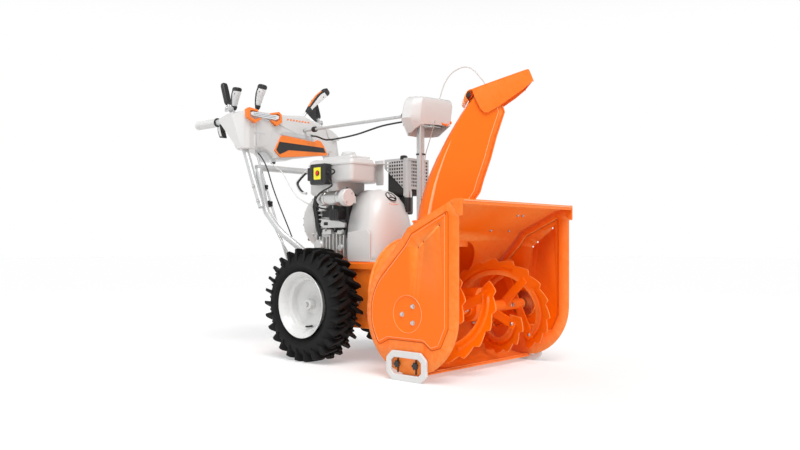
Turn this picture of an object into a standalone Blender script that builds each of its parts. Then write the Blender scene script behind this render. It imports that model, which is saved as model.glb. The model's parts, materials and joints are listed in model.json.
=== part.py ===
"""Two-stage walk-behind snow blower, 24 inch clearing width, as an assembly of separate sub-parts.

Lengths are metres. X is across the machine (the operator's left is +X), Z is up, and Y runs
from the auger housing's front edge (Y = 0 inside the "machine" empty) back to the grips. That
empty shifts everything so that the world origin is the centre of the footprint, on the ground.
"""

import math

import bmesh
import bpy
from mathutils import Matrix, Vector

# Driving dimensions
LIP_TO_ORIGIN = 0.717
GAP = 0.0003
SHEET = 0.003
PLATE_INNER_X = 0.308
PLATE_T = 0.004
AUGER_Y = 0.195
AUGER_Z = 0.205
SCROLL_R = 0.185
AUGER_R = 0.165
IMPELLER_Z = 0.245
DRUM_R = 0.193
DRUM_REAR = 0.500
CHUTE_Y = 0.325
CHUTE_R = 0.088
NECK_TOP = 0.4925
CHUTE_HEADING = 42.0
WHEEL_Y = 0.739
WHEEL_Z = 0.203
TYRE_R = 0.203
RIM_R = 0.1145
WHEEL_INNER_X = 0.165
WHEEL_OUTER_X = 0.2875
WHEEL_STEPS = 30
FRAME_X = 0.130
FRAME_TOP = 0.355
CRANK_Z = 0.520
COVER_X = -0.010
BELT_Y = 0.556
POST_X = 0.054
POST_Y = 0.469
PINION_X = 0.0235
PINION_Y = 0.4429
BUTTON_Y = 0.760
BUTTON_Z = 0.677
ROD_X = 0.050
ROD_Z = 0.889
LEG_X = 0.200
UPPER_X = 0.2275
GRIP_X = 0.240
GRIP_Z = 0.910
TUBE_R = 0.0127
CONSOLE_FRONT = 1.100
LEVER_LEAN = 45.0

SIDES = (("right", -1), ("left", 1))


def clear_scene():
    for obj in list(bpy.data.objects):
        bpy.data.objects.remove(obj)


def material(name, colour, roughness, metallic=0.0):
    made = bpy.data.materials.new(name)
    made.use_nodes = True
    shader = made.node_tree.nodes["Principled BSDF"]
    shader.inputs["Base Color"].default_value = (*colour, 1.0)
    shader.inputs["Roughness"].default_value = roughness
    shader.inputs["Metallic"].default_value = metallic
    return made


def empty(name, location, parent=None):
    made = bpy.data.objects.new(name, None)
    made.location = location
    made.parent = parent
    bpy.context.collection.objects.link(made)
    return made


def place(obj, mat, pivot=None):
    """Gives the object its material and hangs it on a pivot, or on the machine itself."""
    obj.data.materials.append(mat)
    bpy.context.collection.objects.link(obj)
    obj.parent = pivot or machine
    if pivot:
        obj.location = -pivot.location
    return obj


def mesh_object(name, bm, mat, pivot=None, sharp=35):
    bmesh.ops.recalc_face_normals(bm, faces=bm.faces)
    mesh = bpy.data.meshes.new(name)
    bm.to_mesh(mesh)
    bm.free()
    mesh.shade_smooth()
    mesh.set_sharp_from_angle(angle=math.radians(sharp))
    return place(bpy.data.objects.new(name, mesh), mat, pivot)


def helper(obj):
    """Marks an object as a Boolean helper, which is not a sub-part."""
    obj.hide_render = True
    obj.display_type = "WIRE"
    return obj


def boolean(base, operation, others):
    for other in others:
        modifier = base.modifiers.new(other.name, "BOOLEAN")
        modifier.operation = operation
        modifier.object = helper(other)
    return base


def unite(base, *others):
    return boolean(base, "UNION", others)


def cut(base, *others):
    return boolean(base, "DIFFERENCE", others)


def box(name, low, high, mat, pivot=None, bevel=0.0):
    bm = bmesh.new()
    bmesh.ops.create_cube(bm, size=1.0)
    size = Vector(high) - Vector(low)
    bmesh.ops.scale(bm, vec=size, verts=bm.verts)
    bmesh.ops.translate(bm, vec=(Vector(high) + Vector(low)) / 2, verts=bm.verts)
    if bevel:
        bmesh.ops.bevel(bm, geom=bm.edges[:], offset=bevel, segments=2, profile=0.5, affect="EDGES")
    return mesh_object(name, bm, mat, pivot)


def along(axis, pair, value):
    """A point from its two coordinates across an axis and its coordinate along it."""
    a, b = pair
    return {"X": (value, a, b), "Y": (a, value, b), "Z": (a, b, value)}[axis]


def prism(name, outline, axis, start, end, mat, pivot=None):
    """Extrudes a closed outline, given across the axis, from start to end."""
    bm = bmesh.new()
    rings = [[bm.verts.new(along(axis, pair, value)) for pair in outline] for value in (start, end)]
    bm.faces.new(rings[0])
    bm.faces.new(rings[1])
    count = len(outline)
    for i in range(count):
        j = (i + 1) % count
        bm.faces.new((rings[0][i], rings[0][j], rings[1][j], rings[1][i]))
    return mesh_object(name, bm, mat, pivot)


def frame_prism(name, outer, inner, axis, start, end, mat):
    """A prism with a window: both outlines have the same number of points."""
    bm = bmesh.new()
    loops = [
        [bm.verts.new(along(axis, pair, value)) for pair in outline]
        for outline, value in ((outer, start), (outer, end), (inner, end), (inner, start))
    ]
    count = len(outer)
    for k in range(4):
        first, second = loops[k], loops[(k + 1) % 4]
        for i in range(count):
            j = (i + 1) % count
            bm.faces.new((first[i], first[j], second[j], second[i]))
    return mesh_object(name, bm, mat)


def turned(name, profile, axis, centre, mat, pivot=None, steps=16, solid=False):
    """Turns (radius, along) points round an axis: a closed ring, or a solid that ends on the axis."""
    bm = bmesh.new()
    rings = []
    for radius, height in profile:
        if radius == 0:
            rings.append([bm.verts.new(along(axis, centre, height))])
            continue
        ring = []
        for k in range(steps):
            angle = 2 * math.pi * (k + 0.5) / steps
            pair = (centre[0] + radius * math.cos(angle), centre[1] + radius * math.sin(angle))
            ring.append(bm.verts.new(along(axis, pair, height)))
        rings.append(ring)
    last = len(rings) - 1 if solid else len(rings)
    for i in range(last):
        first, second = rings[i], rings[(i + 1) % len(rings)]
        for k in range(steps):
            n = (k + 1) % steps
            if len(first) == 1:
                bm.faces.new((first[0], second[n], second[k]))
            elif len(second) == 1:
                bm.faces.new((first[k], first[n], second[0]))
            else:
                bm.faces.new((first[k], first[n], second[n], second[k]))
    return mesh_object(name, bm, mat, pivot)


def cylinder(name, axis, centre, radius, start, end, mat, pivot=None, steps=16):
    profile = [(0, start), (radius, start), (radius, end), (0, end)]
    return turned(name, profile, axis, centre, mat, pivot, steps, solid=True)


def ring(name, axis, centre, inner, outer, start, end, mat, pivot=None, steps=16):
    profile = [(inner, start), (outer, start), (outer, end), (inner, end)]
    return turned(name, profile, axis, centre, mat, pivot, steps)


def smooth_path(points, per_span=4):
    """Points on a Catmull-Rom curve through the given ones."""
    route = [Vector(p) for p in points]
    ends = [2 * route[0] - route[1]] + route + [2 * route[-1] - route[-2]]
    made = []
    for i in range(len(route) - 1):
        a, b, c, d = ends[i : i + 4]
        for k in range(per_span):
            t = k / per_span
            made.append(
                0.5 * (2 * b + (c - a) * t + (2 * a - 5 * b + 4 * c - d) * t**2 + (3 * b - a - 3 * c + d) * t**3)
            )
    return made + [route[-1]]


def sweep(name, points, radius, mat, pivot=None, sides=10):
    """A round bar along a path, with flat ends."""
    route = [Vector(p) for p in points]
    bm = bmesh.new()
    rings = []
    side = None
    for i, point in enumerate(route):
        forward = (route[min(i + 1, len(route) - 1)] - route[max(i - 1, 0)]).normalized()
        if side is None:
            side = forward.orthogonal().normalized()
        side = (side - forward * side.dot(forward)).normalized()
        up = forward.cross(side)
        ring_points = []
        for k in range(sides):
            angle = 2 * math.pi * k / sides
            ring_points.append(bm.verts.new(point + radius * (math.cos(angle) * side + math.sin(angle) * up)))
        rings.append(ring_points)
    bm.faces.new(rings[0])
    bm.faces.new(rings[-1])
    for first, second in zip(rings, rings[1:]):
        for k in range(sides):
            n = (k + 1) % sides
            bm.faces.new((first[k], first[n], second[n], second[k]))
    return mesh_object(name, bm, mat, pivot)


def cable(name, points, radius, mat, pivot=None):
    """A cable as a bevelled curve with filled caps."""
    data = bpy.data.curves.new(name, "CURVE")
    data.dimensions = "3D"
    data.bevel_depth = radius
    data.bevel_resolution = 2
    data.use_fill_caps = True
    route = smooth_path(points, 3)
    spline = data.splines.new("POLY")
    spline.points.add(len(route) - 1)
    for knot, point in zip(spline.points, route):
        knot.co = (*point, 1.0)
    return place(bpy.data.objects.new(name, data), mat, pivot)


def loft(name, sections, mat, pivot=None):
    """A closed solid through rings that all have the same number of points."""
    bm = bmesh.new()
    rings = [[bm.verts.new(point) for point in section] for section in sections]
    bm.faces.new(rings[0])
    bm.faces.new(rings[-1])
    count = len(rings[0])
    for first, second in zip(rings, rings[1:]):
        for i in range(count):
            j = (i + 1) % count
            bm.faces.new((first[i], first[j], second[j], second[i]))
    return mesh_object(name, bm, mat, pivot)


def arc(centre, radius, start, end, count):
    """Points on a circle, from start to end in degrees."""
    points = []
    for k in range(count + 1):
        angle = math.radians(start + (end - start) * k / count)
        points.append((centre[0] + radius * math.cos(angle), centre[1] + radius * math.sin(angle)))
    return points


def rounded_rectangle(low, high, radius, count=4):
    corners = (
        ((high[0] - radius, high[1] - radius), 0),
        ((low[0] + radius, high[1] - radius), 90),
        ((low[0] + radius, low[1] + radius), 180),
        ((high[0] - radius, low[1] + radius), 270),
    )
    points = []
    for centre, start in corners:
        points += arc(centre, radius, start, start + 90, count)
    return points


def offset_path(points, distance):
    """The path moved to its left by a distance, with mitred corners."""
    route = [Vector(p) for p in points]
    moved = []
    for i, point in enumerate(route):
        before = (point - route[i - 1]).normalized() if i else None
        after = (route[i + 1] - point).normalized() if i < len(route) - 1 else None
        before = before or after
        after = after or before
        normal = Vector((-before.y - after.y, before.x + after.x)).normalized()
        mitre = normal.dot(Vector((-after.y, after.x)))
        moved.append(tuple(point + normal * distance / mitre))
    return moved


# Housing: side plates, back sheet, scraper, skid shoes and bearings

TOP_EDGE = [(0.025, 0.551), (0.062, 0.537), (0.207, 0.469), (0.232, 0.438)]


def housing_outline(inset):
    """The side view of the housing: sloped top edge, then round the scroll, to its lowest front."""
    drop = [(y, z - inset) for y, z in TOP_EDGE]
    return drop + arc((AUGER_Y, AUGER_Z), SCROLL_R - inset, 44, -96, 14)


def side_plate(word, side):
    front = AUGER_Y - SCROLL_R
    lower_arc = arc((AUGER_Y, AUGER_Z), SCROLL_R, -108, -180, 6)
    outline = housing_outline(0) + lower_arc
    outline += [(front, 0.504), (-0.002, 0.508), (-0.002, 0.552)]
    start, end = side * PLATE_INNER_X, side * (PLATE_INNER_X + PLATE_T)
    prism(f"side_plate_{word}", outline, "X", start, end, ORANGE)


def housing_back():
    outer = [(-0.004, 0.537), (-0.004, 0.5495)] + housing_outline(0.0015)
    inner = offset_path(outer, -SHEET)
    reach = PLATE_INNER_X - GAP
    sheet = prism("housing_back", outer + inner[::-1], "X", -reach, reach, ORANGE)
    hole = cylinder("impeller_opening", "Y", (0, IMPELLER_Z), 0.186, 0.12, 0.45, ORANGE, steps=32)
    cut(sheet, hole)


def scraper_blade():
    reach = PLATE_INNER_X - GAP
    box("scraper_blade", (-reach, 0.172, 0.0155), (reach, 0.232, 0.0212), ORANGE)


def skid_shoe(word, side):
    outer = rounded_rectangle((0.125, 0.0), (0.288, 0.092), 0.026)
    inner = rounded_rectangle((0.146, 0.020), (0.268, 0.071), 0.012)
    near = PLATE_INNER_X + PLATE_T + GAP
    frame_prism(f"skid_shoe_{word}", outer, inner, "X", side * near, side * (near + 0.010), PALE)


def auger_bearing(word, side):
    ring(
        f"auger_bearing_{word}", "X", (AUGER_Y, AUGER_Z), 0.0131, 0.045, side * 0.297,
        side * (PLATE_INNER_X - GAP), STEEL,
    )


# Auger: shaft, two ribboned rakes and the worm gear case

TOOTH_COUNT = 9
RIBBON_TURN = 250.0
RIBBON_IN = 0.065
RIBBON_OUT = 0.285


def ribbon(name, side, phase):
    """A helical band with a saw-toothed outer edge; the phase is its angle at the inner end."""
    bm = bmesh.new()
    steps = TOOTH_COUNT * 2
    rings = []
    for i in range(steps + 1):
        share = i / steps
        angle = math.radians(phase - RIBBON_TURN * share)
        outer = AUGER_R if i % 2 else AUGER_R - 0.012
        x = side * (RIBBON_IN + (RIBBON_OUT - RIBBON_IN) * share)
        corners = []
        for radius, lift in ((0.108, -0.002), (outer, -0.002), (outer, 0.002), (0.108, 0.002)):
            y = AUGER_Y - radius * math.cos(angle)
            z = AUGER_Z + radius * math.sin(angle)
            corners.append(bm.verts.new((x + lift, y, z)))
        rings.append(corners)
    bm.faces.new(rings[0])
    bm.faces.new(rings[-1])
    for first, second in zip(rings, rings[1:]):
        for k in range(4):
            n = (k + 1) % 4
            bm.faces.new((first[k], first[n], second[n], second[k]))
    return mesh_object(name, bm, ORANGE, auger_pivot)


def spoke(name, side, share, phase):
    """A flat bar through the tube that joins both ribbons at one place along them."""
    x = side * (RIBBON_IN + (RIBBON_OUT - RIBBON_IN) * share)
    angle = phase - RIBBON_TURN * share
    bm = bmesh.new()
    bmesh.ops.create_cube(bm, size=1.0)
    bmesh.ops.scale(bm, vec=(0.005, 0.270, 0.030), verts=bm.verts)
    bmesh.ops.rotate(bm, cent=(0, 0, 0), matrix=Matrix.Rotation(math.radians(-angle), 3, "X"), verts=bm.verts)
    bmesh.ops.translate(bm, vec=(x, AUGER_Y, AUGER_Z), verts=bm.verts)
    return mesh_object(name, bm, ORANGE, auger_pivot)


def auger_rake(word, side, phase):
    """A tube with two ribbons half a turn apart and three bars that carry them."""
    tube = ring(
        f"auger_rake_{word}", "X", (AUGER_Y, AUGER_Z), 0.0131, 0.0190, side * 0.046, side * 0.292,
        ORANGE, auger_pivot, steps=16,
    )
    bars = [spoke(f"rake_bar_{word}_{n}", side, share, phase) for n, share in enumerate((0.06, 0.5, 0.94))]
    shaft_way = cylinder(
        f"rake_bore_{word}", "X", (AUGER_Y, AUGER_Z), 0.0131, side * 0.03, side * 0.30, ORANGE,
        auger_pivot, steps=16,
    )
    ribbons = [ribbon(f"rake_ribbon_{word}_{n}", side, phase + 180 * n) for n in range(2)]
    unite(tube, *bars, *ribbons)
    cut(tube, shaft_way)


def auger_shaft():
    reach = PLATE_INNER_X - 0.0008
    profile = [
        (0, -reach), (0.0125, -reach), (0.0125, -0.010), (0.0255, -0.010),
        (0.0255, 0.010), (0.0125, 0.010), (0.0125, reach), (0, reach),
    ]
    turned("auger_shaft", profile, "X", (AUGER_Y, AUGER_Z), STEEL, auger_pivot, 16, solid=True)


def gear_case():
    case = cylinder("gear_case", "X", (AUGER_Y, AUGER_Z), 0.043, -0.037, 0.037, ORANGE)
    snout = cylinder("case_snout", "Y", (0, IMPELLER_Z), 0.024, 0.140, 0.290, ORANGE)
    hollow = cylinder("case_hollow", "X", (AUGER_Y, AUGER_Z), 0.034, -0.030, 0.030, ORANGE)
    shaft_way = cylinder("case_shaft_way", "X", (AUGER_Y, AUGER_Z), 0.0131, -0.05, 0.05, ORANGE, steps=16)
    worm_way = cylinder("case_worm_way", "Y", (0, IMPELLER_Z), 0.0135, 0.150, 0.31, ORANGE, steps=16)
    unite(case, snout)
    cut(case, hollow, shaft_way, worm_way)


# Impeller: housing drum with its outlet neck, blades on their shaft, bearing

BLADE_COUNT = 4


def impeller_housing():
    drum = cylinder("impeller_housing", "Y", (0, IMPELLER_Z), DRUM_R, 0.18, DRUM_REAR, ORANGE, steps=32)
    neck = cylinder("neck", "Z", (0, CHUTE_Y), CHUTE_R, 0.38, NECK_TOP, ORANGE, steps=24)
    flange = cylinder("neck_flange", "Z", (0, CHUTE_Y), 0.1, NECK_TOP - 0.004, NECK_TOP, ORANGE, steps=24)
    inside = cylinder(
        "drum_inside", "Y", (0, IMPELLER_Z), DRUM_R - SHEET, 0.1, DRUM_REAR - SHEET, ORANGE, steps=32
    )
    outlet = cylinder("outlet", "Z", (0, CHUTE_Y), CHUTE_R - SHEET, 0.30, 0.6, ORANGE, steps=24)
    shaft_way = cylinder("drum_shaft_way", "Y", (0, IMPELLER_Z), 0.013, 0.45, 0.55, ORANGE, steps=16)
    wall = offset_path(housing_outline(0.0015), GAP)
    wall += [(0.10, 0.0), (-0.1, 0.0), (-0.1, 0.56)]
    front = prism("drum_trim", wall, "X", -0.3, 0.3, ORANGE)
    unite(drum, neck, flange)
    cut(drum, inside, outlet, shaft_way, front)


def impeller():
    profile = [
        (0, 0.158), (0.0095, 0.158), (0.0095, 0.372), (0.024, 0.372), (0.024, 0.452),
        (0.0095, 0.452), (0.0095, 0.583), (0, 0.583),
    ]
    hub = turned("impeller", profile, "Y", (0, IMPELLER_Z), ORANGE, impeller_pivot, 16, solid=True)
    blades = []
    for n in range(BLADE_COUNT):
        bm = bmesh.new()
        bmesh.ops.create_cube(bm, size=1.0)
        bmesh.ops.scale(bm, vec=(0.160, 0.066, 0.005), verts=bm.verts)
        bmesh.ops.translate(bm, vec=(0.098, 0, 0), verts=bm.verts)
        turn = Matrix.Rotation(math.radians(360 / BLADE_COUNT * n + 25), 3, "Y")
        bmesh.ops.rotate(bm, cent=(0, 0, 0), matrix=turn, verts=bm.verts)
        bmesh.ops.translate(bm, vec=(0, 0.411, IMPELLER_Z), verts=bm.verts)
        blades.append(mesh_object(f"blade_{n}", bm, ORANGE, impeller_pivot))
    unite(hub, *blades)


def pulley_profile(bore, radius, groove):
    """A flat-grooved pulley round BELT_Y, as (radius, along) points of a ring."""
    return [
        (bore, BELT_Y - 0.011), (radius, BELT_Y - 0.011), (radius, BELT_Y - 0.007),
        (groove, BELT_Y - 0.007), (groove, BELT_Y + 0.007), (radius, BELT_Y + 0.007),
        (radius, BELT_Y + 0.011), (bore, BELT_Y + 0.011),
    ]


def pulleys_and_belt():
    turned("impeller_pulley", pulley_profile(0.0098, 0.105, 0.096), "Y", (0, IMPELLER_Z), STEEL, impeller_pivot, 20)
    rim = pulley_profile(0.0127, 0.046, 0.037)[1:-1]
    profile = [(0, 0.538), (0.0127, 0.538), (0.0127, BELT_Y - 0.011)] + rim
    profile += [(0.0127, BELT_Y + 0.011), (0.0127, 0.664), (0, 0.664)]
    turned("engine_pulley", profile, "Y", (0, CRANK_Z), STEEL, crank_pivot, 16, solid=True)
    spread = CRANK_Z - IMPELLER_Z
    outlines = []
    for extra in (0.0085, 0.0008):
        small, large = 0.037 + extra, 0.096 + extra
        lean = math.degrees(math.asin((large - small) / spread))
        top = arc((0, CRANK_Z), small, lean, 180 - lean, 12)
        bottom = arc((0, IMPELLER_Z), large, 180 - lean, 360 + lean, 20)
        outlines.append(top + bottom)
    frame_prism("drive_belt", outlines[0], outlines[1], "Y", BELT_Y - 0.0055, BELT_Y + 0.0055, BLACK)


# Tractor: frame, axles and wheels

def tractor_frame():
    body = box("tractor_frame", (-FRAME_X, DRUM_REAR + GAP, 0.12), (FRAME_X, 0.90, FRAME_TOP), ORANGE)
    inside = box(
        "frame_inside", (-FRAME_X + SHEET, DRUM_REAR + 0.004, 0.10),
        (FRAME_X - SHEET, 0.90 - SHEET, FRAME_TOP - SHEET), ORANGE,
    )
    belt_way = box("belt_way", (-0.112, 0.530, 0.30), (0.112, 0.585, 0.40), ORANGE)
    bearing_way = cylinder("bearing_way", "Y", (0, IMPELLER_Z), 0.0286, 0.45, 0.52, ORANGE)
    axle_way = cylinder("axle_way", "X", (WHEEL_Y, WHEEL_Z), 0.0158, -0.2, 0.2, ORANGE, steps=16)
    cut(body, inside, belt_way, bearing_way, axle_way)
    ring("impeller_bearing", "Y", (0, IMPELLER_Z), 0.0099, 0.0282, DRUM_REAR + GAP, 0.513, STEEL)
    for word, side in SIDES:
        ring(
            f"axle_bush_{word}", "X", (WHEEL_Y, WHEEL_Z), 0.0098, 0.0154, side * 0.1225,
            side * 0.1345, STEEL, steps=16,
        )


def wheel(word, side):
    pivot = wheel_pivots[word]
    centre = (WHEEL_Y, WHEEL_Z)
    inner, outer = WHEEL_INNER_X, WHEEL_OUTER_X
    middle = (inner + outer) / 2
    half = (outer - inner) / 2
    profile = [
        (0.0985, -half * 0.55), (RIM_R + 0.003, -half * 0.70), (0.155, -half), (0.188, -half * 0.92),
        (TYRE_R, -half * 0.60), (TYRE_R, half * 0.60), (0.188, half * 0.92), (0.155, half),
        (RIM_R + 0.003, half * 0.72), (0.0985, half * 0.50),
    ]
    profile = [(radius, side * (middle + offset)) for radius, offset in profile]
    turned(f"tyre_{word}", profile, "X", centre, BLACK, pivot, WHEEL_STEPS)
    shell = 0.003
    dish = [
        (RIM_R, outer), (0.0965, outer - 0.020), (0.0965, inner + 0.020), (RIM_R, inner + 0.004),
        (0.0965 - shell, inner + 0.016), (0.0965 - shell, 0.222), (0.0098, 0.205), (0.0098, 0.252),
        (0.026, 0.252), (0.030, 0.236), (0.0965 - shell, 0.228), (0.0965 - shell, outer - 0.018),
    ]
    dish = [(radius, side * x) for radius, x in dish]
    turned(f"rim_{word}", dish, "X", centre, WHITE, pivot, WHEEL_STEPS)
    cylinder(f"axle_{word}", "X", centre, 0.0095, side * 0.012, side * 0.262, STEEL, pivot, 16)


# Engine: block, covers, tank, starters, switch and exhaust

def belt_cover():
    """A tall domed shell over the belt, narrower and rounder towards its top, open behind."""
    levels = ((0.3555, 0.118, 0.0), (0.44, 0.116, 0.0), (0.51, 0.106, 0.006), (0.565, 0.086, 0.020),
              (0.600, 0.061, 0.045), (0.618, 0.034, 0.075))

    def section(z, half, back, thin):
        half -= thin
        front = 0.516 + back + thin
        outline = arc((0, 0), 1, 180, 360, 10)
        points = []
        for cx, sy in outline:
            x = COVER_X + half * math.copysign(abs(cx) ** 0.6, cx)
            y = front + 0.040 * (1 - abs(sy) ** 1.4)
            points.append((x, y, z))
        points += [(COVER_X + half, 0.663, z), (COVER_X - half, 0.663, z)]
        return points

    outer = loft("belt_cover", [section(z, half, back, 0) for z, half, back in levels], WHITE)
    hollow = [section(z - 0.004, half, back, SHEET) for z, half, back in levels]
    hollow[0] = section(0.33, 0.118, 0.0, SHEET)
    hollow = [[(x, y + (0.02 if y > 0.66 else 0), z) for x, y, z in ring_points] for ring_points in hollow]
    inner = loft("cover_hollow", hollow, WHITE)
    cut(outer, inner)


def engine():
    block = box("engine_block", (-0.115, 0.668, FRAME_TOP + GAP), (0.115, 0.8610, 0.560), METAL, bevel=0.006)
    sump = box("block_sump", (-0.128, 0.690, FRAME_TOP + 0.012), (-0.08, 0.835, 0.455), METAL, bevel=0.01)
    head = box("block_head", (0.09, 0.690, 0.420), (0.205, 0.820, 0.565), METAL, bevel=0.008)
    deck = box("block_deck", (-0.10, 0.700, 0.54), (0.10, 0.850, 0.5975), METAL, bevel=0.004)
    crank_way = cylinder("crank_way", "Y", (0, CRANK_Z), 0.0135, 0.60, 0.70, METAL, steps=16)
    unite(block, sump, head, deck)
    cut(block, crank_way)
    recoil = [
        (0, 0.8615), (0.108, 0.8615), (0.108, 0.925), (0.100, 0.945), (0.080, 0.955), (0, 0.958),
    ]
    turned("recoil_housing", recoil, "Y", (0, 0.505), WHITE, None, 24, solid=True)
    handle = smooth_path(
        [(-0.115, 0.882, 0.703), (-0.115, 0.925, 0.680), (-0.115, 0.956, 0.656), (-0.115, 0.940, 0.629),
         (-0.115, 0.900, 0.612)], 3
    )
    sweep("recoil_handle", handle, 0.0055, GREY, recoil_pivot, 8)


def fuel_tank():
    outline = [(-0.145, 0.622), (-0.030, 0.622), (0.018, 0.655), (0.018, 0.858), (-0.145, 0.858)]
    tank = prism("fuel_tank", outline, "Z", 0.598, 0.730, WHITE)
    step = box("tank_step", (-0.20, 0.60, 0.58), (0.05, 0.700, 0.640), WHITE)
    cut(tank, step)
    raised = box("tank_top", (-0.130, 0.640, 0.70), (0.0, 0.80, 0.742), WHITE, bevel=0.008)
    unite(tank, raised)
    soften = tank.modifiers.new("soften", "BEVEL")
    soften.width = 0.008
    soften.segments = 2
    soften.limit_method = "ANGLE"
    turned(
        "fuel_cap",
        [(0, 0.7425), (0.026, 0.7425), (0.026, 0.756), (0.022, 0.762), (0, 0.762)],
        "Z", (-0.065, 0.72), PALE, cap_pivot, 20, solid=True,
    )


def starter_and_switch():
    profile = [(0, 0.598), (0.031, 0.598), (0.031, 0.624), (0.026, 0.624), (0.026, 0.738), (0.020, 0.745), (0, 0.745)]
    turned("electric_starter", profile, "Y", (-0.180, 0.583), METAL, None, 16, solid=True)
    switch = box("switch_box", (-0.184, 0.722, 0.636), (-0.1453, 0.806, 0.712), BLACK, bevel=0.005)
    button_way = cylinder("button_way", "X", (BUTTON_Y, BUTTON_Z), 0.0078, -0.20, -0.168, BLACK, steps=16)
    key_way = box("key_way", (-0.176, 0.700, 0.674), (-0.164, 0.7345, 0.684), BLACK)
    cut(switch, button_way, key_way)
    cylinder("starter_button", "X", (BUTTON_Y, BUTTON_Z), 0.0072, -0.189, -0.172, RED, button_pivot, 16)
    box("ignition_key", (-0.1755, 0.684, 0.6745), (-0.1645, 0.733, 0.6835), BLACK, key_pivot)


def exhaust():
    box("muffler", (0.060, 0.542, 0.612), (0.150, 0.625, 0.715), STEEL, bevel=0.012)
    guard = box("muffler_guard", (0.045, 0.524, 0.621), (0.165, 0.640, 0.735), GREY, bevel=0.006)
    hollow = box("guard_hollow", (0.048, 0.527, 0.580), (0.162, 0.68, 0.732), GREY)
    cut(guard, hollow)


# Handlebar, console and controls

def handlebars():
    right = [
        (-0.1455, 0.80, 0.300), (-0.1455, 0.836, 0.346), (-0.150, 0.868, 0.385), (-0.175, 0.903, 0.423),
        (-LEG_X, 0.945, 0.463),
        (-LEG_X, 1.014, 0.523), (-LEG_X, 1.039, 0.552), (-LEG_X, 1.064, 0.632), (-LEG_X, 1.084, 0.700),
        (-0.188, 1.088, 0.713), (-0.170, 1.089, 0.717),
    ]
    left = [(-x, y, z) for x, y, z in reversed(right)]
    sweep("handlebar_lower", right + left, TUBE_R, GREY)
    for word, side in SIDES:
        route = [
            (side * UPPER_X, 1.030, 0.560), (side * UPPER_X, 1.082, 0.672), (side * UPPER_X, 1.130, 0.780),
            (side * 0.231, 1.172, 0.856), (side * 0.236, 1.210, 0.893), (side * GRIP_X, 1.250, 0.907),
            (side * GRIP_X, 1.290, GRIP_Z), (side * GRIP_X, 1.431, GRIP_Z),
        ]
        sweep(f"handlebar_upper_{word}", route, TUBE_R, GREY)
        helper(sweep(f"tube_way_{word}", route, TUBE_R + 0.0008, GREY))
        grip = [
            (0, 1.438), (0.0165, 1.438), (0.0178, 1.432), (0.0178, 1.302), (0.0130, 1.302),
            (0.0130, 1.4325), (0, 1.4325),
        ]
        turned(f"grip_{word}", grip, "Y", (side * GRIP_X, GRIP_Z), GREY, None, 16, solid=True)


CONSOLE = [
    (-0.255, 0.789), (-0.172, 0.795), (-0.139, 0.783), (-0.108, 0.757), (-0.039, 0.757),
    (0.000, 0.768), (0.174, 0.796), (0.252, 0.819), (0.250, 0.880), (0.203, 0.905),
    (0.133, 0.931), (0.053, 0.952), (-0.050, 0.943), (-0.250, 0.943),
]


def console():
    body = prism("console", CONSOLE, "Y", CONSOLE_FRONT, 1.300, WHITE)
    inner = offset_path(CONSOLE + CONSOLE[:1], 0.004)[:-1]
    inner[0] = (-0.205, 0.798)
    inner = [(max(-0.205, min(0.205, x)), z) for x, z in inner]
    hollow = prism("console_hollow", inner, "Y", CONSOLE_FRONT + 0.004, 1.35, WHITE)
    middle = box("console_middle", (-0.212, 1.0, 0.7), (0.212, 1.4, 1.0), WHITE)
    boolean(body, "INTERSECT", [middle])
    cut(body, hollow)
    rear_room = [(1.195, 0.70), (1.195, 0.783), (1.310, 0.894), (1.40, 0.894), (1.40, 0.70)]
    cut(body, prism("console_rear_room", rear_room, "X", -0.3, 0.3, WHITE))
    lower_wing = [(1.101, 0.7895), (1.142, 0.7865), (1.262, 0.902), (1.272, 0.920), (1.262, 0.933)]
    for word, side, front_top in (("right", -1, 0.941), ("left", 1, 0.878)):
        wing = lower_wing + [(1.101, front_top)]
        unite(body, prism(f"wing_{word}", wing, "X", side * 0.208, side * 0.262, WHITE))
    cut(body, bpy.data.objects["tube_way_right"], bpy.data.objects["tube_way_left"])
    cut(body, cylinder("rod_way", "Y", (ROD_X, ROD_Z), 0.010, 1.05, 1.12, WHITE, steps=16))
    cut(body, box("speed_slot", (-0.192, 1.248, 0.92), (-0.172, 1.294, 0.97), WHITE))
    cut(body, box("deflector_slot", (-0.129, 1.15, 0.92), (-0.109, 1.23, 0.97), WHITE))
    cut(body, box("chute_slot", (0.010, 1.188, 0.915), (0.2, 1.212, 0.97), WHITE))
    bar = rounded_rectangle((-0.240, 0.902), (-0.080, 0.946), 0.012, 3)
    prism("headlight", bar, "Y", 1.084, CONSOLE_FRONT - GAP, CHROME)


def stick(name, pivot, base, top, size, mat):
    """A flattened hand lever on a round stem that starts on its pivot."""
    start, foot, head = Vector(pivot.location), Vector(base), Vector(top)
    stem = sweep(name, [start, start.lerp(foot, 0.5), foot.lerp(head, 0.2)], 0.0045, mat, pivot, 8)
    direction = (head - foot).normalized()
    across = Vector((1, 0, 0)) if abs(direction.x) < 0.5 else Vector((0, 1, 0))
    depth = direction.cross(across).normalized()
    sections = []
    for share, wide, deep in ((0, 0.7, 0.7), (0.15, 1.0, 1.0), (0.8, 1.0, 1.05), (0.93, 1.1, 1.3), (1.0, 0.7, 0.9)):
        centre = foot.lerp(head, share)
        sections.append([
            centre + across * size[0] * wide * math.cos(a) + depth * size[1] * deep * math.sin(a)
            for a in [math.radians(22.5 + 45 * k) for k in range(8)]
        ])
    grip = loft(f"{name}_grip", sections, mat, pivot)
    unite(stem, grip)
    return stem


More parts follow.
